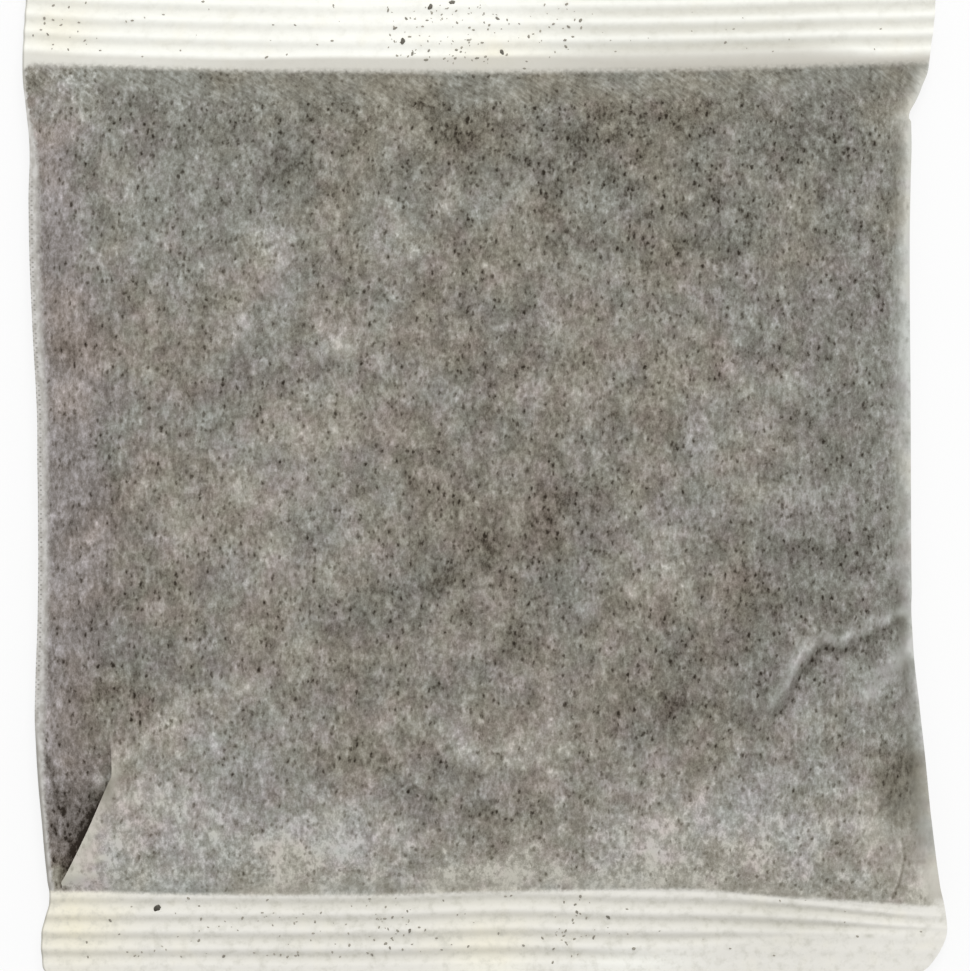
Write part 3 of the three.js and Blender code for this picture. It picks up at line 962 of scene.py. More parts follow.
def around_zero(tree, value, height):
    return calculate(tree, "MULTIPLY_ADD", value, height, -height / 2)


print("noise helpers:", [helper.__name__ for helper in (noise, scattered, jostled, stretched, around_zero)])

# %% [markdown]
# ## Ground coffee, as a node group
# Ground coffee is a heap of dark grains of very different sizes, with paler skins and dust between them.
# The group gives four values: broad heaps and fine dust around zero, and single specks and pale skins from
# 0 to 1. The paper uses it for what shows through it, and the stray grains use it for their own roast. An
# image of coffee would repeat over the paper, and noise never does.

# %% Ground coffee group
HEAP_SIZE = 3.6
DUST_SIZE = 0.57
CROWD_SIZE = 2.0
SPECK_SPACING = 0.58
SKIN_SIZE = 0.4


def new_group(name, inputs, outputs):
    """A shader group with the given sockets, its input node and its output node."""
    group = bpy.data.node_groups.new(name, "ShaderNodeTree")
    for direction, sockets in (("INPUT", inputs), ("OUTPUT", outputs)):
        for socket_name, kind in sockets.items():
            group.interface.new_socket(socket_name, in_out=direction, socket_type="NodeSocket" + kind)
    return group, group.nodes.new("NodeGroupInput").outputs, group.nodes.new("NodeGroupOutput").inputs


def ground_coffee_group():
    outputs = {"Heaps": "Float", "Dust": "Float", "Specks": "Float", "Skins": "Float"}
    group, given, result = new_group("ground coffee", {"Place": "Vector", "Crowding": "Float"}, outputs)
    upright = stretched(group, given["Place"], (1.0, 1.5, 1.0), turn_deg=-6)
    settled = stretched(group, given["Place"], (1.0, 1.2, 1.0))
    heaps = noise(group, settled, HEAP_SIZE, detail=3.0, roughness=0.6)
    dust = noise(group, upright, DUST_SIZE, detail=3.0, roughness=0.86)
    crowd = calculate(group, "MULTIPLY_ADD", noise(group, given["Place"], CROWD_SIZE), 0.6, given["Crowding"])
    from_speck, number = scattered(group, jostled(group, upright, 0.35, 0.45), SPECK_SPACING)
    darkness = remap(group, calculate(group, "ADD", number, crowd), 0.45, 1.3)
    specks = calculate(group, "MULTIPLY", remap(group, from_speck, 0.05, 0.52, 1, 0), darkness)
    leaning = stretched(group, upright, turn_deg=16, offset=(3, 9, 4))
    skins = remap(group, noise(group, leaning, SKIN_SIZE), 0.57, 0.76)
    feed(group, result["Heaps"], around_zero(group, heaps, -1.0))
    feed(group, result["Dust"], around_zero(group, dust, 1.0))
    feed(group, result["Specks"], specks)
    feed(group, result["Skins"], skins)
    return group


def use_group(tree, group, **inputs):
    node = tree.nodes.new("ShaderNodeGroup")
    node.node_tree = group
    for name, value in inputs.items():
        feed(tree, node.inputs[name], value)
    return node.outputs


ground_coffee = ground_coffee_group()
print("group:", ground_coffee.name, [socket.name for socket in ground_coffee.interface.items_tree])

# %% [markdown]
# ## Thin creases, as a node group
# Where the pouch was bent, the paper keeps creases as thin as a pencil line, finer than the mesh, so their
# light and shade are painted. The group measures the distance to a straight piece of crease. It gives the
# dark line, painted shade, and the pale bank beside it, a painted highlight, and a few of them in a row draw
# a bent crease.

# %% Thin crease group
BANK_OFFSET = (0.4, 0.1, 0)
BANK_WIDENING = 1.6


def thin_crease_group():
    inputs = {"Place": "Vector", "Start": "Vector", "End": "Vector", "Width": "Float"}
    group, given, result = new_group("thin crease", inputs, {"Line": "Float", "Bank": "Float"})
    place = vector_maths(group, "MULTIPLY", given["Place"], (1, 1, 0))
    along = vector_maths(group, "SUBTRACT", given["End"], given["Start"])
    offset = vector_maths(group, "SUBTRACT", place, given["Start"])
    reached = vector_maths(group, "DOT_PRODUCT", offset, along)
    share = calculate(group, "DIVIDE", reached, vector_maths(group, "DOT_PRODUCT", along, along))
    foot = vector_maths(group, "SCALE", along, remap(group, share, 0, 1, smooth=False))
    from_line = vector_maths(group, "DISTANCE", offset, foot)
    from_bank = vector_maths(group, "DISTANCE", vector_maths(group, "ADD", offset, BANK_OFFSET), foot)
    bank_width = calculate(group, "MULTIPLY", given["Width"], BANK_WIDENING)
    # Line is painted shade in the crease, Bank a painted highlight beside it
    feed(group, result["Line"], remap(group, from_line, 0, given["Width"], 1, 0))
    feed(group, result["Bank"], remap(group, from_bank, 0, bank_width, 1, 0))
    return group


thin_crease = thin_crease_group()
print("group:", thin_crease.name, [socket.name for socket in thin_crease.interface.items_tree])

# %% [markdown]
# ## Coffee through the paper
# The tone of the paper over the coffee is a sum: its paleness from the mesh, the heaps, dust, specks and
# skins of the grounds, the paper's own fibres, and the thin creases. A translucent paper over modelled
# grounds would be truer, but slow to render and hard to steer, so the sum goes straight to a colour.

# %% Tone of the coffee
BASE_TONE = 0.497
HEAP_SHARE = 0.68
DUST_SHARE = 1.1
SPECK_SHARE = -0.42
SKIN_SHARE = 0.09
FIBRE_SHARE = 0.28
BRUSHED_SHARE = 0.5
STILLING = -0.85
# Points (x, v) along each crease, width in mm, and strengths of its painted-shade line and painted-highlight
# bank
CREASES = [
    ([(49.7, 6.2), (50.0, 4.2), (49.4, 1.4), (48.6, -0.6)], 0.32, 0.26, 0.16),
    ([(50.1, 3.5), (52.3, 3.5)], 0.5, 0.12, 0.1),
    ([(-38.5, 22.3), (-38.3, 18.7)], 0.25, 0.28, 0.05),
    ([(-49.6, 15.8), (-47.6, 9.3)], 0.8, 0.34, 0.06),
]


def read_attribute(tree, name):
    node = tree.nodes.new("ShaderNodeAttribute")
    node.attribute_name = name
    return node.outputs["Fac"]


def add_creases(tree, place, tone):
    broken = remap(tree, noise(tree, place, size=0.7, detail=1.0), 0.3, 0.6, 0.35, 1)
    for path, width, line_strength, bank_strength in CREASES:
        line, bank = 0.0, 0.0
        for start, end in zip(path[:-1], path[1:]):
            crease = use_group(tree, thin_crease, Place=place, Start=(*start, 0), End=(*end, 0), Width=width)
            line = calculate(tree, "MAXIMUM", line, crease["Line"])
            bank = calculate(tree, "MAXIMUM", bank, crease["Bank"])
        line = calculate(tree, "MULTIPLY", line, broken)
        tone = add_parts(tree, tone, [(line, -line_strength), (bank, bank_strength)])
    return tone


def coffee_tone(tree, place, fibres):
    paleness = read_attribute(tree, "paleness")
    crowding = calculate(tree, "MULTIPLY", paleness, -0.3)
    grounds = use_group(tree, ground_coffee, Place=place, Crowding=crowding)
    leaning = stretched(tree, place, (1, 1.6, 1), turn_deg=8, offset=(11, 5, 0))
    wisps = noise(tree, leaning, size=1.1, detail=1.0, roughness=0.6)
    texture = add_parts(tree, 0.0, [
        (grounds["Dust"], DUST_SHARE),
        (grounds["Specks"], SPECK_SHARE),
        (grounds["Skins"], SKIN_SHARE),
        (remap(tree, wisps, 0.4, 0.75, -0.05, 0.13), 1.0),
        (around_zero(tree, fibres, FIBRE_SHARE), 1.0),
    ])
    speckled = calculate(tree, "MULTIPLY_ADD", read_attribute(tree, "stillness"), STILLING, 1.0)
    brushed = noise(tree, stretched(tree, place, (1.0, 4.0, 1.0), turn_deg=50), size=0.35, detail=1.0)
    in_top_band = remap(tree, read_attribute(tree, "up_the_pouch"), TOP_SEAL - 6, TOP_SEAL - 3)
    tone = add_parts(tree, calculate(tree, "ADD", paleness, BASE_TONE), [
        (texture, speckled),
        (grounds["Heaps"], HEAP_SHARE),
        (around_zero(tree, brushed, BRUSHED_SHARE), in_top_band),
    ])
    return add_creases(tree, place, tone)


print("creases:", len(CREASES))

# %% Colour of the coffee
COFFEE_TONES = [
    (0.00, srgb(46, 40, 32)), (0.20, srgb(91, 86, 77)), (0.50, srgb(133, 129.5, 120.4)),
    (0.75, srgb(164.5, 162, 155)), (1.00, srgb(204, 202, 196)),
]
OLIVE_TINT = (0.986, 1.008, 0.976, 1)
ROSY_TINT = (1.038, 0.970, 1.015, 1)
COOL_TINT = (0.964, 0.993, 1.034, 1)
BROWN_TINT = (1.034, 0.997, 0.962, 1)
BLUSH_SIZE = 3.5
ROAST_SIZE = 9.0


def coffee_colour(tree, place, fibres):
    ramp = tree.nodes.new("ShaderNodeValToRGB")
    stops = ramp.color_ramp.elements
    while len(stops) < len(COFFEE_TONES):
        stops.new(0.5)
    for stop, (position, colour) in zip(stops, COFFEE_TONES):
        stop.position = position
        stop.color = colour
    feed(tree, ramp.inputs["Fac"], coffee_tone(tree, place, fibres))
    blush = noise(tree, stretched(tree, place, offset=(20, 0, 0)), BLUSH_SIZE, detail=2.0, roughness=0.6)
    blush = calculate(tree, "MULTIPLY_ADD", read_attribute(tree, "rosiness"), 0.42, blush)
    olive_or_rosy = blend_colours(tree, remap(tree, blush, 0.29, 0.83), OLIVE_TINT, ROSY_TINT)
    roast = noise(tree, stretched(tree, place, offset=(0, 30, 0)), ROAST_SIZE, detail=3.0, roughness=0.6)
    roast = calculate(tree, "MULTIPLY_ADD", read_attribute(tree, "brownness"), 0.38, roast)
    cool_or_brown = blend_colours(tree, remap(tree, roast, 0.31, 0.69), COOL_TINT, BROWN_TINT)
    tint = blend_colours(tree, 1.0, olive_or_rosy, cool_or_brown, "MULTIPLY")
    return blend_colours(tree, 1.0, ramp.outputs["Color"], tint, "MULTIPLY")


print("tones:", len(COFFEE_TONES))

# %% [markdown]
# ## Bare paper
# Where no coffee lies behind it, the paper is warm white, a little darker and yellower at the bottom, with
# painted shade and some dust in the ribs' valleys. Above the fill the top seal shows a grey band: coffee dust
# behind the paper, with painted shade where the seal meets the rise of the fill. The side seal is pressed by
# a knurled wheel. Its dents are far finer than the mesh, so their shade is painted into the colour.

# %% Bare paper of the end seals
TOP_WHITE = srgb(250, 250, 243)
BOTTOM_WHITE = srgb(236, 233.8, 226.5)
RIB_GREY = srgb(196, 194, 182)
DUST_AND_SHADE_GREY = srgb(190, 186, 176)
YELLOWED = srgb(246, 240, 218)
VALLEY_SHARE = 0.42
# Places X between which the grey band above the fill changes
GREY_BAND_FAINT_LEFT = (-42, -22)
GREY_BAND_LOW_LEFT = (-30, -14)
GREY_BAND_RIGHT = (4, 26)
GREY_BAND_FAR_RIGHT = (36, 48)


def dust_and_shade_band(tree, place, up):
    """The grey band above the fill, coffee dust and painted shade: lower at the left, and stronger and wider
    to the right.
    """
    across = tree.nodes.new("ShaderNodeSeparateXYZ")
    feed(tree, across.inputs[0], place)
    x = across.outputs["X"]
    to_right = remap(tree, x, *GREY_BAND_RIGHT)
    lower_left = remap(tree, x, *GREY_BAND_LOW_LEFT, 0.5, 0)
    share = calculate(tree, "MULTIPLY_ADD", to_right, 0.22, remap(tree, x, *GREY_BAND_FAINT_LEFT, 0.48, 0.68))
    start = calculate(tree, "MULTIPLY_ADD", to_right, -1.0, TOP_SEAL + 1.2)
    start = calculate(tree, "SUBTRACT", start, lower_left)
    end = calculate(tree, "MULTIPLY_ADD", to_right, 1.2, TOP_SEAL + 1.9)
    end = calculate(tree, "SUBTRACT", end, remap(tree, x, *GREY_BAND_FAR_RIGHT, 0, 1.6))
    end = calculate(tree, "SUBTRACT", end, lower_left)
    share_off_bottom = calculate(tree, "MULTIPLY", share, remap(tree, up, 1, 2))
    return calculate(tree, "MULTIPLY", remap(tree, up, start, end, 1, 0), share_off_bottom)


def seal_colour(tree, place):
    up = read_attribute(tree, "up_the_pouch")
    whiter = calculate(tree, "ADD", remap(tree, up, 0, BODY_LENGTH), read_attribute(tree, "whiteness"))
    white = blend_colours(tree, whiter, BOTTOM_WHITE, TOP_WHITE)
    yellowed = read_attribute(tree, "yellowing")
    stains = remap(tree, noise(tree, place, size=4.0, detail=2.0, roughness=0.6), 0.52, 0.75, 0, 0.2)
    stained = blend_colours(tree, calculate(tree, "ADD", stains, yellowed), white, YELLOWED)
    mottle = remap(tree, noise(tree, place, size=1.1, detail=3.0, roughness=0.65), 0.42, 0.8)
    mottle = calculate(tree, "MULTIPLY", mottle, remap(tree, up, 0, BODY_LENGTH, 0.5, 0.18))
    # Painted shade with some dust in the ribs' valleys, and mottle, turn the paper grey
    valley = calculate(tree, "MULTIPLY_ADD", read_attribute(tree, "rib_shade_and_stains"), VALLEY_SHARE, mottle)
    ribbed = blend_colours(tree, valley, stained, RIB_GREY)
    return blend_colours(tree, dust_and_shade_band(tree, place, up), ribbed, DUST_AND_SHADE_GREY)


print("white of the top seal:", [round(c, 2) for c in TOP_WHITE])

# %% Knurled side seal
SIDE_SEAL_GREY = srgb(180, 177, 171)
SIDE_SEAL_PALE = srgb(207, 205, 201)
SIDE_SEAL_SHADE = srgb(140, 137, 130)
KNURL_DENT_SHADE = srgb(128, 125, 119)
KNURL_PITCH = 0.55
KNURL_COLUMN = 0.7
KNURL_START = 16
KNURL_END = 86


def side_seal_colour(tree, place, from_left):
    """Rows of tiny dents, darkened by turns with painted shade in their hollows."""
    axes = tree.nodes.new("ShaderNodeSeparateXYZ")
    feed(tree, axes.inputs[0], place)
    along = calculate(tree, "SINE", calculate(tree, "MULTIPLY", axes.outputs["Y"], 2 * math.pi / KNURL_PITCH))
    across = calculate(tree, "COSINE", calculate(tree, "MULTIPLY", from_left, 2 * math.pi / KNURL_COLUMN))
    dents = remap(tree, calculate(tree, "MULTIPLY", along, across), 0.0, 0.9)
    pressed = remap(tree, noise(tree, place, size=1.5, detail=1.0), 0.3, 0.6, 0.25, 0.75)
    height = read_attribute(tree, "up_the_pouch")
    pressed = calculate(tree, "MULTIPLY", pressed, remap(tree, height, KNURL_END - 6, KNURL_END, 1, 0))
    pressed = calculate(tree, "MULTIPLY", pressed, remap(tree, height, KNURL_START, KNURL_START + 8))
    pressed = calculate(tree, "MULTIPLY", pressed, remap(tree, from_left, 0.5, 0.7, 1, 0))
    edge_shade = remap(tree, height, 14, 24, 0.75, 0)
    edge_shade = calculate(tree, "MULTIPLY", edge_shade, remap(tree, from_left, 0.1, 0.45, 1, 0))
    mottle = remap(tree, noise(tree, stretched(tree, place, (1, 2, 1)), size=0.6, detail=1.0), 0.3, 0.7)
    smooth = blend_colours(tree, mottle, SIDE_SEAL_GREY, SIDE_SEAL_PALE)
    smooth = blend_colours(tree, edge_shade, smooth, SIDE_SEAL_SHADE)
    return blend_colours(tree, calculate(tree, "MULTIPLY", dents, pressed), smooth, KNURL_DENT_SHADE)


print("knurl of", KNURL_PITCH, "mm")

# %% [markdown]
# ## Filter paper
# Filter paper is a loose felt of long fibres, without the gloss of writing paper. One material covers the
# pouch: coffee or bare paper as the mesh says, with a ragged border between them, and the knurled strip
# along the left edge. A material for each would need the faces cut along borders that they don't follow.
# The fibres are also bump, a few hundredths of a millimetre high.

# %% Filter paper material
SEAL_EDGE_SHADE = srgb(138, 136, 130)
FIBRE_STRETCH = (1.0, 3.3, 1.0)
RAGGEDNESS = 5.0
FIBRE_HEIGHT = 0.00006
FIBRE_RELIEF = 0.35
PAPER_ROUGHNESS = 0.92
PAPER_SHINE = 0.2


def with_side_seal(tree, place, body, ragged, in_body):
    """Adds the knurled strip along the left edge, and a painted shadow line where the end seals reach that
    edge.
    """
    from_left = read_attribute(tree, "from_left_edge")
    up = read_attribute(tree, "up_the_pouch")
    lower_width = remap(tree, up, 8, 24, 0.9, 1.7)
    upper_width = remap(tree, up, 82, 92, 1.7, 0.5)
    strip_end = calculate(tree, "MINIMUM", lower_width, upper_width)
    strip_start = calculate(tree, "MULTIPLY", strip_end, 0.3)
    strip = remap(tree, calculate(tree, "ADD", ragged, from_left), strip_start, strip_end, 1, 0)
    strip = calculate(tree, "MULTIPLY", strip, in_body)
    coloured = blend_colours(tree, strip, body, side_seal_colour(tree, place, from_left))
    # A thin painted shadow along the left cut edge of the end seals
    painted_edge_shadow = calculate(tree, "SUBTRACT", remap(tree, from_left, 0.06, 0.28, 0.55, 0), in_body)
    painted_edge_shadow = calculate(tree, "MAXIMUM", painted_edge_shadow, 0.0)
    return blend_colours(tree, painted_edge_shadow, coloured, SEAL_EDGE_SHADE)


def filter_paper_material():
    material = bpy.data.materials.new("filter paper")
    material.use_nodes = True
    tree = material.node_tree
    shader = tree.nodes["Principled BSDF"]
    in_metres = tree.nodes.new("ShaderNodeTexCoord").outputs["Object"]
    place = stretched(tree, in_metres, (MM, MM, MM), offset=(shift * MM).tolist())
    lengthwise = stretched(tree, place, FIBRE_STRETCH, turn_deg=12)
    fibres = noise(tree, lengthwise, size=0.5, detail=2.0, roughness=0.6)
    crosswise = stretched(tree, place, FIBRE_STRETCH, turn_deg=-38, offset=(5, 2, 0))
    cross_fibres = noise(tree, crosswise, size=0.45, detail=1.0, roughness=0.6)

    ragged = calculate(tree, "SUBTRACT", noise(tree, place, size=0.5, detail=2.0, roughness=0.6), 0.5)
    coffee = read_attribute(tree, "coffee")
    partly = calculate(tree, "MULTIPLY", coffee, calculate(tree, "SUBTRACT", 1.0, coffee))
    cover = calculate(tree, "MULTIPLY_ADD", calculate(tree, "MULTIPLY", ragged, RAGGEDNESS), partly, coffee)
    body = blend_colours(tree, cover, seal_colour(tree, place), coffee_colour(tree, place, fibres))
    in_body = remap(tree, coffee, 0.5, 0.9)
    feed(tree, shader.inputs["Base Color"], with_side_seal(tree, place, body, ragged, in_body))

    bump = tree.nodes.new("ShaderNodeBump")
    bump.inputs["Strength"].default_value = FIBRE_RELIEF
    bump.inputs["Distance"].default_value = FIBRE_HEIGHT
    feed(tree, bump.inputs["Height"], calculate(tree, "ADD", fibres, cross_fibres))
    feed(tree, shader.inputs["Normal"], bump.outputs["Normal"])
    shader.inputs["Roughness"].default_value = PAPER_ROUGHNESS
    shader.inputs["Specular IOR Level"].default_value = PAPER_SHINE
    return material


pouch_mesh.materials.append(filter_paper_material())
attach(pouch, "root")
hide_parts("filter_pouch")
print("materials on the pouch:", [material.name for material in pouch_mesh.materials])

# %% [markdown]
# ## Stray grains
# When the pouch was filled, a few grains of coffee were caught in both seals. Each one is a dented ball,
# stretched at random and half sunk in the paper. The large and the small ones are listed one by one, and the
# smallest come at random in clusters, because grains that fall from a chute don't land evenly. Scattering
# by geometry nodes would do the same. Here the code writes the points of one mesh that holds them all.

# %% Places of the grains
GRAIN_SEED = 17
# Place (x, y), length in mm and turn in degrees of each large grain
LARGE_GRAINS = [
    ((-5.0, 102.7), 0.85, 55), ((-2.5, 103.2), 0.8, 5), ((2.8, 101.3), 0.65, -40), ((-9.1, 100.2), 0.6, 20),
    ((-8.2, 98.7), 0.85, 85), ((-7.4, 99.2), 0.45, 0), ((-7.1, 97.2), 0.65, 80), ((-5.2, 97.6), 0.45, 60),
    ((-5.5, 96.5), 0.6, 5), ((-2.0, 97.7), 0.45, 0), ((-2.1, 96.7), 0.4, 30), ((-0.6, 98.8), 0.5, 0),
    ((1.0, 98.5), 0.45, 0), ((0.4, 96.7), 0.55, 10), ((3.3, 97.4), 0.85, -65), ((6.4, 99.2), 0.5, 90),
    ((5.9, 95.5), 0.4, 0), ((11.0, 100.4), 0.55, -50), ((12.4, 101.1), 0.6, 60), ((12.5, 100.3), 0.4, 80),
    ((11.5, 99.2), 0.4, 0), ((10.6, 98.8), 0.45, 10), ((10.7, 98.1), 0.5, -50), ((10.8, 103.0), 0.5, 30),
    ((-9.9, 102.3), 0.5, 80), ((-7.8, 101.3), 0.5, -60), ((-5.4, 101.1), 0.4, 0), ((-5.9, 100.4), 0.4, 0),
    ((-3.7, 101.8), 0.35, 40), ((-24.0, 96.8), 0.5, 30), ((-49.8, 101.4), 0.45, 90),
    ((-49.8, 100.8), 0.4, 80), ((-49.4, 99.5), 0.45, -50), ((-50.2, 100.0), 0.35, 0),
    ((-48.8, 101.2), 0.4, -30), ((-47.9, 100.6), 0.45, 30), ((-45.8, 100.9), 0.35, 0),
    ((-45.1, 98.8), 0.4, 40), ((-43.3, 97.6), 0.35, 0), ((-36.0, 101.8), 0.4, 0), ((-36.7, -1.9), 1.15, 30),
    ((-42.2, -3.3), 0.55, -50), ((-31.6, -3.1), 0.5, 80), ((-26.8, -3.0), 0.55, 70),
    ((-31.9, -5.7), 0.55, 60), ((-29.0, -7.5), 0.5, 60), ((-18.6, -4.8), 0.4, 0), ((-9.4, -2.9), 0.5, 60),
    ((-10.3, -3.1), 0.45, 0), ((-10.2, -1.8), 0.45, 70), ((-7.4, -4.5), 0.6, 80), ((-8.8, -4.5), 0.4, -40),
    ((-10.2, -6.0), 0.5, 30), ((-9.7, -6.5), 0.45, -70), ((-11.8, -7.3), 0.5, -60), ((12.4, -0.5), 0.5, 80),
    ((12.0, -2.3), 0.5, -60), ((13.1, -3.0), 0.4, 80), ((15.6, -2.9), 0.7, -45), ((10.7, -4.5), 0.5, 60),
    ((14.0, -5.2), 0.5, 50), ((9.3, -6.6), 0.45, 60), ((18.6, -6.6), 0.5, 10), ((51.9, -4.6), 0.35, 0),
]
# Places (x, y) of smaller grains that lie apart from the clusters
SMALL_GRAINS = [
    (-48.8, 102.9), (-47.0, 102.7), (-45.0, 103.2), (-40.3, 101.0), (-39.6, 101.1), (-34.0, 97.6),
    (-38.4, 96.9), (-31.4, 103.3), (-47.0, 97.7), (-48.8, 98.3), (-45.9, 99.8), (-51.1, 99.4),
    (-33.1, -0.7), (-41.1, -4.9), (-30.8, -4.1), (-24.5, -2.4), (-23.9, -0.9), (-23.3, -3.9),
    (-17.7, -2.4), (-18.4, -3.5), (-44.9, -5.9), (-40.2, -7.0), (-38.9, -7.5), (-37.0, -6.8),
    (-44.8, -7.6), (-22.4, -7.3), (-21.6, -7.6), (-20.4, -7.0), (-9.0, -0.7), (-11.2, -3.1),
    (-14.8, -3.8), (-14.5, -4.8), (-14.4, -6.2), (-16.4, -7.0), (-15.5, -7.6), (-12.3, -7.1),
    (-9.4, -5.6), (-9.9, -4.3), (-8.1, -5.0), (-6.3, -4.1), (-5.6, -4.4), (-7.5, -3.3),
    (-4.3, -5.4), (-3.7, -6.7), (-0.6, -6.3), (2.9, -4.8), (5.8, -6.2), (4.4, -0.4),
    (3.7, -0.5), (-3.5, -1.0), (11.8, -1.5), (11.5, -3.3), (17.8, -2.0), (10.5, -5.1),
    (9.6, -5.0), (11.7, -5.5), (13.9, -5.4), (17.9, -4.9), (11.4, -7.5), (12.1, -7.3),
    (9.2, -8.2), (8.0, -5.4),
]
# Middle (x, y), half size in mm and number of the smallest grains in each cluster
GRAIN_CLUSTERS = [
    ((-4.0, 99.5), (6.0, 3.4), 72), ((4.0, 99.0), (5.0, 3.0), 28), ((11.0, 99.5), (2.0, 3.0), 8),
    ((-47.0, 99.8), (3.0, 2.2), 4), ((0.0, 100.0), (48.0, 3.4), 34), ((-9.5, -4.2), (3.4, 3.2), 18),
    ((12.6, -3.6), (3.2, 3.2), 18), ((-28.0, -4.4), (12.0, 3.2), 26), ((0.0, -4.2), (46.0, 3.6), 32),
]

random = np.random.default_rng(GRAIN_SEED)
grain_list = list(LARGE_GRAINS)
for place in SMALL_GRAINS:
    grain_list.append((place, random.uniform(0.3, 0.46), random.uniform(0, 180)))
for middle, half_size, count in GRAIN_CLUSTERS:
    for _ in range(count):
        place = np.array(middle) + np.array(half_size) * random.uniform(-1, 1, 2)
        grain_list.append((tuple(place), 0.18 + 0.24 * random.random() ** 2, random.uniform(0, 180)))
print("grains:", len(grain_list))

# %% Shape of a grain
LENGTH_FIT = 0.9
DENT_DEPTH = 0.16
DENT_WAVES = 7
FLATNESS = 0.6
LIFT = 0.1

ball = bmesh.new()
bmesh.ops.create_icosphere(ball, subdivisions=2, radius=0.5)
ball_points = np.array([vertex.co for vertex in ball.verts])
ball_faces = np.array([[vertex.index for vertex in face.verts] for face in ball.faces])
ball.free()


def paper_height(x, y):
    v = y
    for _ in range(4):
        v = y - row_stray(x, v)
    return float(front_height(x, v, True) + unevenness(np.array(x), np.array(v)))


def grain_points(place, length, turn_deg):
    x, y = place
    waves = ball_points @ random.normal(0, DENT_WAVES, 3) + random.uniform(0, 6)
    dents = 1 + DENT_DEPTH * np.cos(waves)
    length = LENGTH_FIT * length
    width = length * random.uniform(0.45, 0.7)
    shape = ball_points * dents[:, None] * (length, width, FLATNESS * width)
    c = math.cos(math.radians(turn_deg))
    s = math.sin(math.radians(turn_deg))
    turned = shape @ np.array([[c, s, 0], [-s, c, 0], [0, 0, 1]])
    return turned + (x, y, paper_height(x, y) + LIFT * width)


print("points of a grain:", len(ball_points))

# %% Grain mesh
PALENESS_AT_NO_LENGTH = 1.25
PAINTED_LIGHT_PER_MM = 1.1
ROAST_SPREAD = 0.15

grain_mesh = bpy.data.meshes.new("stray grains")
grain_all = np.concatenate([grain_points(*grain) for grain in grain_list])
grain_faces = [ball_faces + i * len(ball_points) for i in range(len(grain_list))]
grain_mesh.from_pydata(((grain_all + shift) * MM).tolist(), [], np.concatenate(grain_faces).tolist())
grain_mesh.shade_smooth()
grain_lengths = np.array([length for _, length, _ in grain_list])
roast_strays = random.uniform(-ROAST_SPREAD, ROAST_SPREAD, len(grain_list))
# Paler the shorter a grain is: painted light from the paper around it; the strays are real roast
grain_roasts_and_light = np.clip(PALENESS_AT_NO_LENGTH - PAINTED_LIGHT_PER_MM * grain_lengths + roast_strays, 0, 1)
roast_values = np.repeat(grain_roasts_and_light, len(ball_points)).astype(np.float32)
grain_mesh.attributes.new("roast", "FLOAT", "POINT").data.foreach_set("value", roast_values)
grains = bpy.data.objects.new("stray_grains", grain_mesh)
bpy.context.scene.collection.objects.link(grains)
print("grain triangles:", len(grain_mesh.polygons))

# %% [markdown]
# ## Roasted coffee
# A grain of roasted coffee is dark and dull. Small ones look paler, because the paper's light shines past
# them, so each grain is painted paler the shorter it is, with a little random roast on top. The ground coffee
# group, four times as fine, mottles them.

# %% Roasted coffee material
DARK_ROAST = srgb(66, 62, 53)
PALE_GRAIN_COLOUR = srgb(170, 165, 152)
GROUNDS_FINENESS = 0.25
GRAIN_BUMP = 0.00003
GRAIN_ROUGHNESS = 0.7


def roasted_coffee_material():
    material = bpy.data.materials.new("roasted coffee")
    material.use_nodes = True
    tree = material.node_tree
    shader = tree.nodes["Principled BSDF"]
    in_metres = tree.nodes.new("ShaderNodeTexCoord").outputs["Object"]
    place = stretched(tree, in_metres, [GROUNDS_FINENESS * MM] * 3)
    grounds = use_group(tree, ground_coffee, Place=place, Crowding=0.0)
    mottles = [(grounds["Heaps"], 0.5), (grounds["Dust"], 0.6)]
    # The roast attribute also carries painted light: shorter grains are paler
    roast = add_parts(tree, read_attribute(tree, "roast"), mottles)
    feed(tree, shader.inputs["Base Color"], blend_colours(tree, roast, DARK_ROAST, PALE_GRAIN_COLOUR))
    bump = tree.nodes.new("ShaderNodeBump")
    bump.inputs["Distance"].default_value = GRAIN_BUMP
    feed(tree, bump.inputs["Height"], grounds["Dust"])
    feed(tree, shader.inputs["Normal"], bump.outputs["Normal"])
    shader.inputs["Roughness"].default_value = GRAIN_ROUGHNESS
    return material


grain_mesh.materials.append(roasted_coffee_material())
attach(grains, "root")
print("materials on the grains:", [material.name for material in grain_mesh.materials])

# %% [markdown]
# ## Floor
# The pouch lies on a plain white table. A table that is only lit would look grey, and one that only glows
# would show no shadow. So the floor is a mix: it glows white to the camera, through gloss and glass too,
# and keeps a faint shadow.

# %% Floor
FLOOR_HALF = 1.5
FLOOR_DEPTH = 0.0001
FLOOR_GLOW = 0.85
CORNERS = [(-1, -1), (1, -1), (1, 1), (-1, 1)]


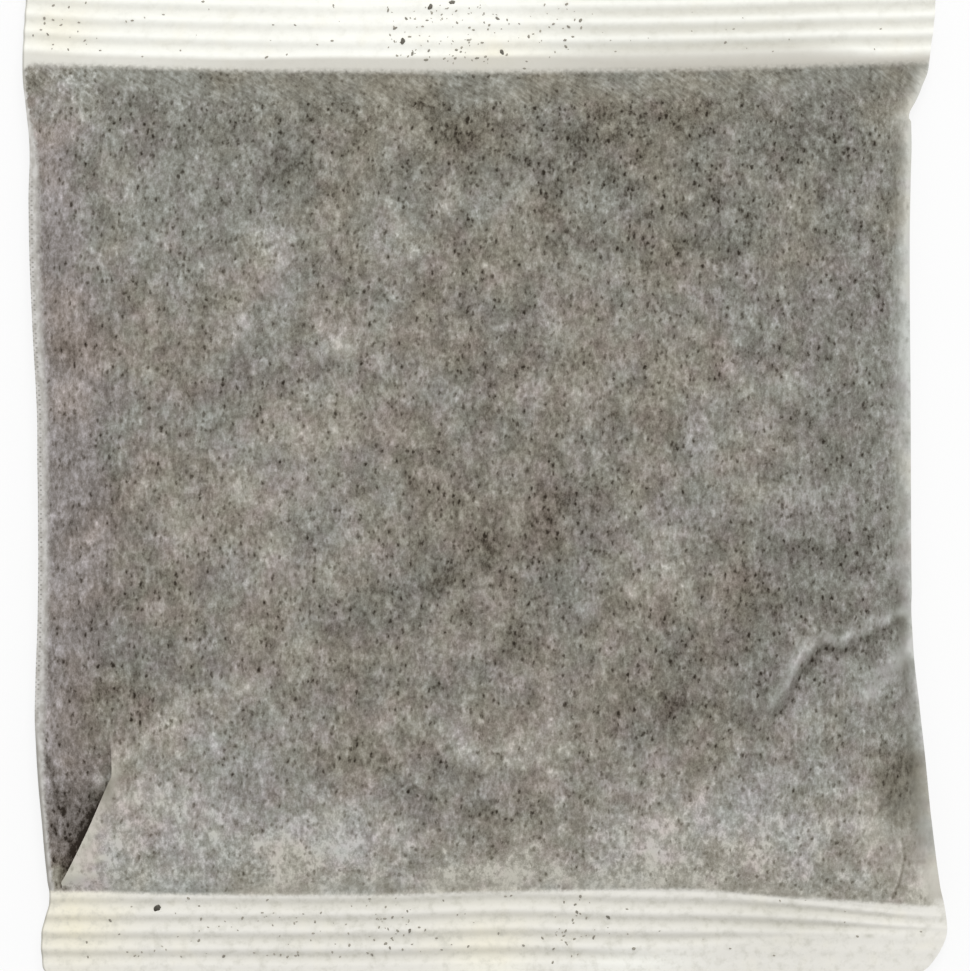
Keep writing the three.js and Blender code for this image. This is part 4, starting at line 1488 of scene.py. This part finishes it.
def floor_material():
    material = bpy.data.materials.new("white table")
    material.use_nodes = True
    tree = material.node_tree
    tree.nodes.remove(tree.nodes["Principled BSDF"])
    output = tree.nodes["Material Output"]
    table = tree.nodes.new("ShaderNodeBsdfDiffuse")
    table.inputs["Color"].default_value = (0.9, 0.9, 0.9, 1)
    glow = tree.nodes.new("ShaderNodeEmission")
    glow.inputs["Color"].default_value = (1, 1, 1, 1)
    path = tree.nodes.new("ShaderNodeLightPath")
    seen = calculate(tree, "MAXIMUM", path.outputs["Is Camera Ray"], path.outputs["Is Glossy Ray"])
    seen = calculate(tree, "MAXIMUM", seen, path.outputs["Is Transmission Ray"])
    mix = tree.nodes.new("ShaderNodeMixShader")
    feed(tree, mix.inputs["Fac"], calculate(tree, "MULTIPLY", seen, FLOOR_GLOW))
    feed(tree, mix.inputs[1], table.outputs[0])
    feed(tree, mix.inputs[2], glow.outputs[0])
    feed(tree, output.inputs["Surface"], mix.outputs[0])
    return material


floor_mesh = bpy.data.meshes.new("floor")
floor_corners = [(x * FLOOR_HALF, y * FLOOR_HALF, -FLOOR_DEPTH) for x, y in CORNERS]
floor_mesh.from_pydata(floor_corners, [], [(0, 1, 2, 3)])
floor_mesh.materials.append(floor_material())
floor = bpy.data.objects.new("floor", floor_mesh)
bpy.context.scene.collection.objects.link(floor)
print("floor of", 2 * FLOOR_HALF, "m")

# %% [markdown]
# ## Light and camera
# The light is soft and comes from above, a little from the upper right: an even white sky, and a round lamp
# about as far off as a window. A sun would draw hard shadows in every rib. The camera looks straight down
# on the pouch.

# %% Light
SKY_STRENGTH = 0.55
LAMP_SIZE = 0.5
LAMP_POWER = 4.5
LAMP_PLACE = (0.10, 0.42, 0.80)

scene = bpy.context.scene
scene.view_settings.view_transform = "Standard"
world = bpy.data.worlds.new("soft sky")
world.use_nodes = True
world.node_tree.nodes["Background"].inputs["Color"].default_value = (1, 1, 1, 1)
world.node_tree.nodes["Background"].inputs["Strength"].default_value = SKY_STRENGTH
scene.world = world

lamp_data = bpy.data.lights.new("window light", "AREA")
lamp_data.shape = "DISK"
lamp_data.size = LAMP_SIZE
lamp_data.energy = LAMP_POWER
lamp = bpy.data.objects.new("window light", lamp_data)
lamp.location = LAMP_PLACE
lamp.rotation_euler = (Vector((0, 0, 0)) - lamp.location).to_track_quat("-Z", "Y").to_euler()
scene.collection.objects.link(lamp)
print("lamp distance:", round(lamp.location.length, 2), "m")

# %% Camera
VIEW_WIDTH = 112.52
VIEW_MIDDLE = (1.33, 47.15)
CAMERA_DISTANCE = 450

camera_data = bpy.data.cameras.new("overhead camera")
camera_data.sensor_fit = "HORIZONTAL"
camera_data.lens = camera_data.sensor_width * CAMERA_DISTANCE / VIEW_WIDTH
camera = bpy.data.objects.new("overhead camera", camera_data)
camera.location = (
    (VIEW_MIDDLE[0] + shift[0]) * MM,
    (VIEW_MIDDLE[1] + shift[1]) * MM,
    (SEAM_HEIGHT + CAMERA_DISTANCE) * MM,
)
scene.collection.objects.link(camera)
scene.camera = camera
print("lens:", round(camera_data.lens, 1), "mm")

# %% Update the scene
bpy.context.view_layer.update()
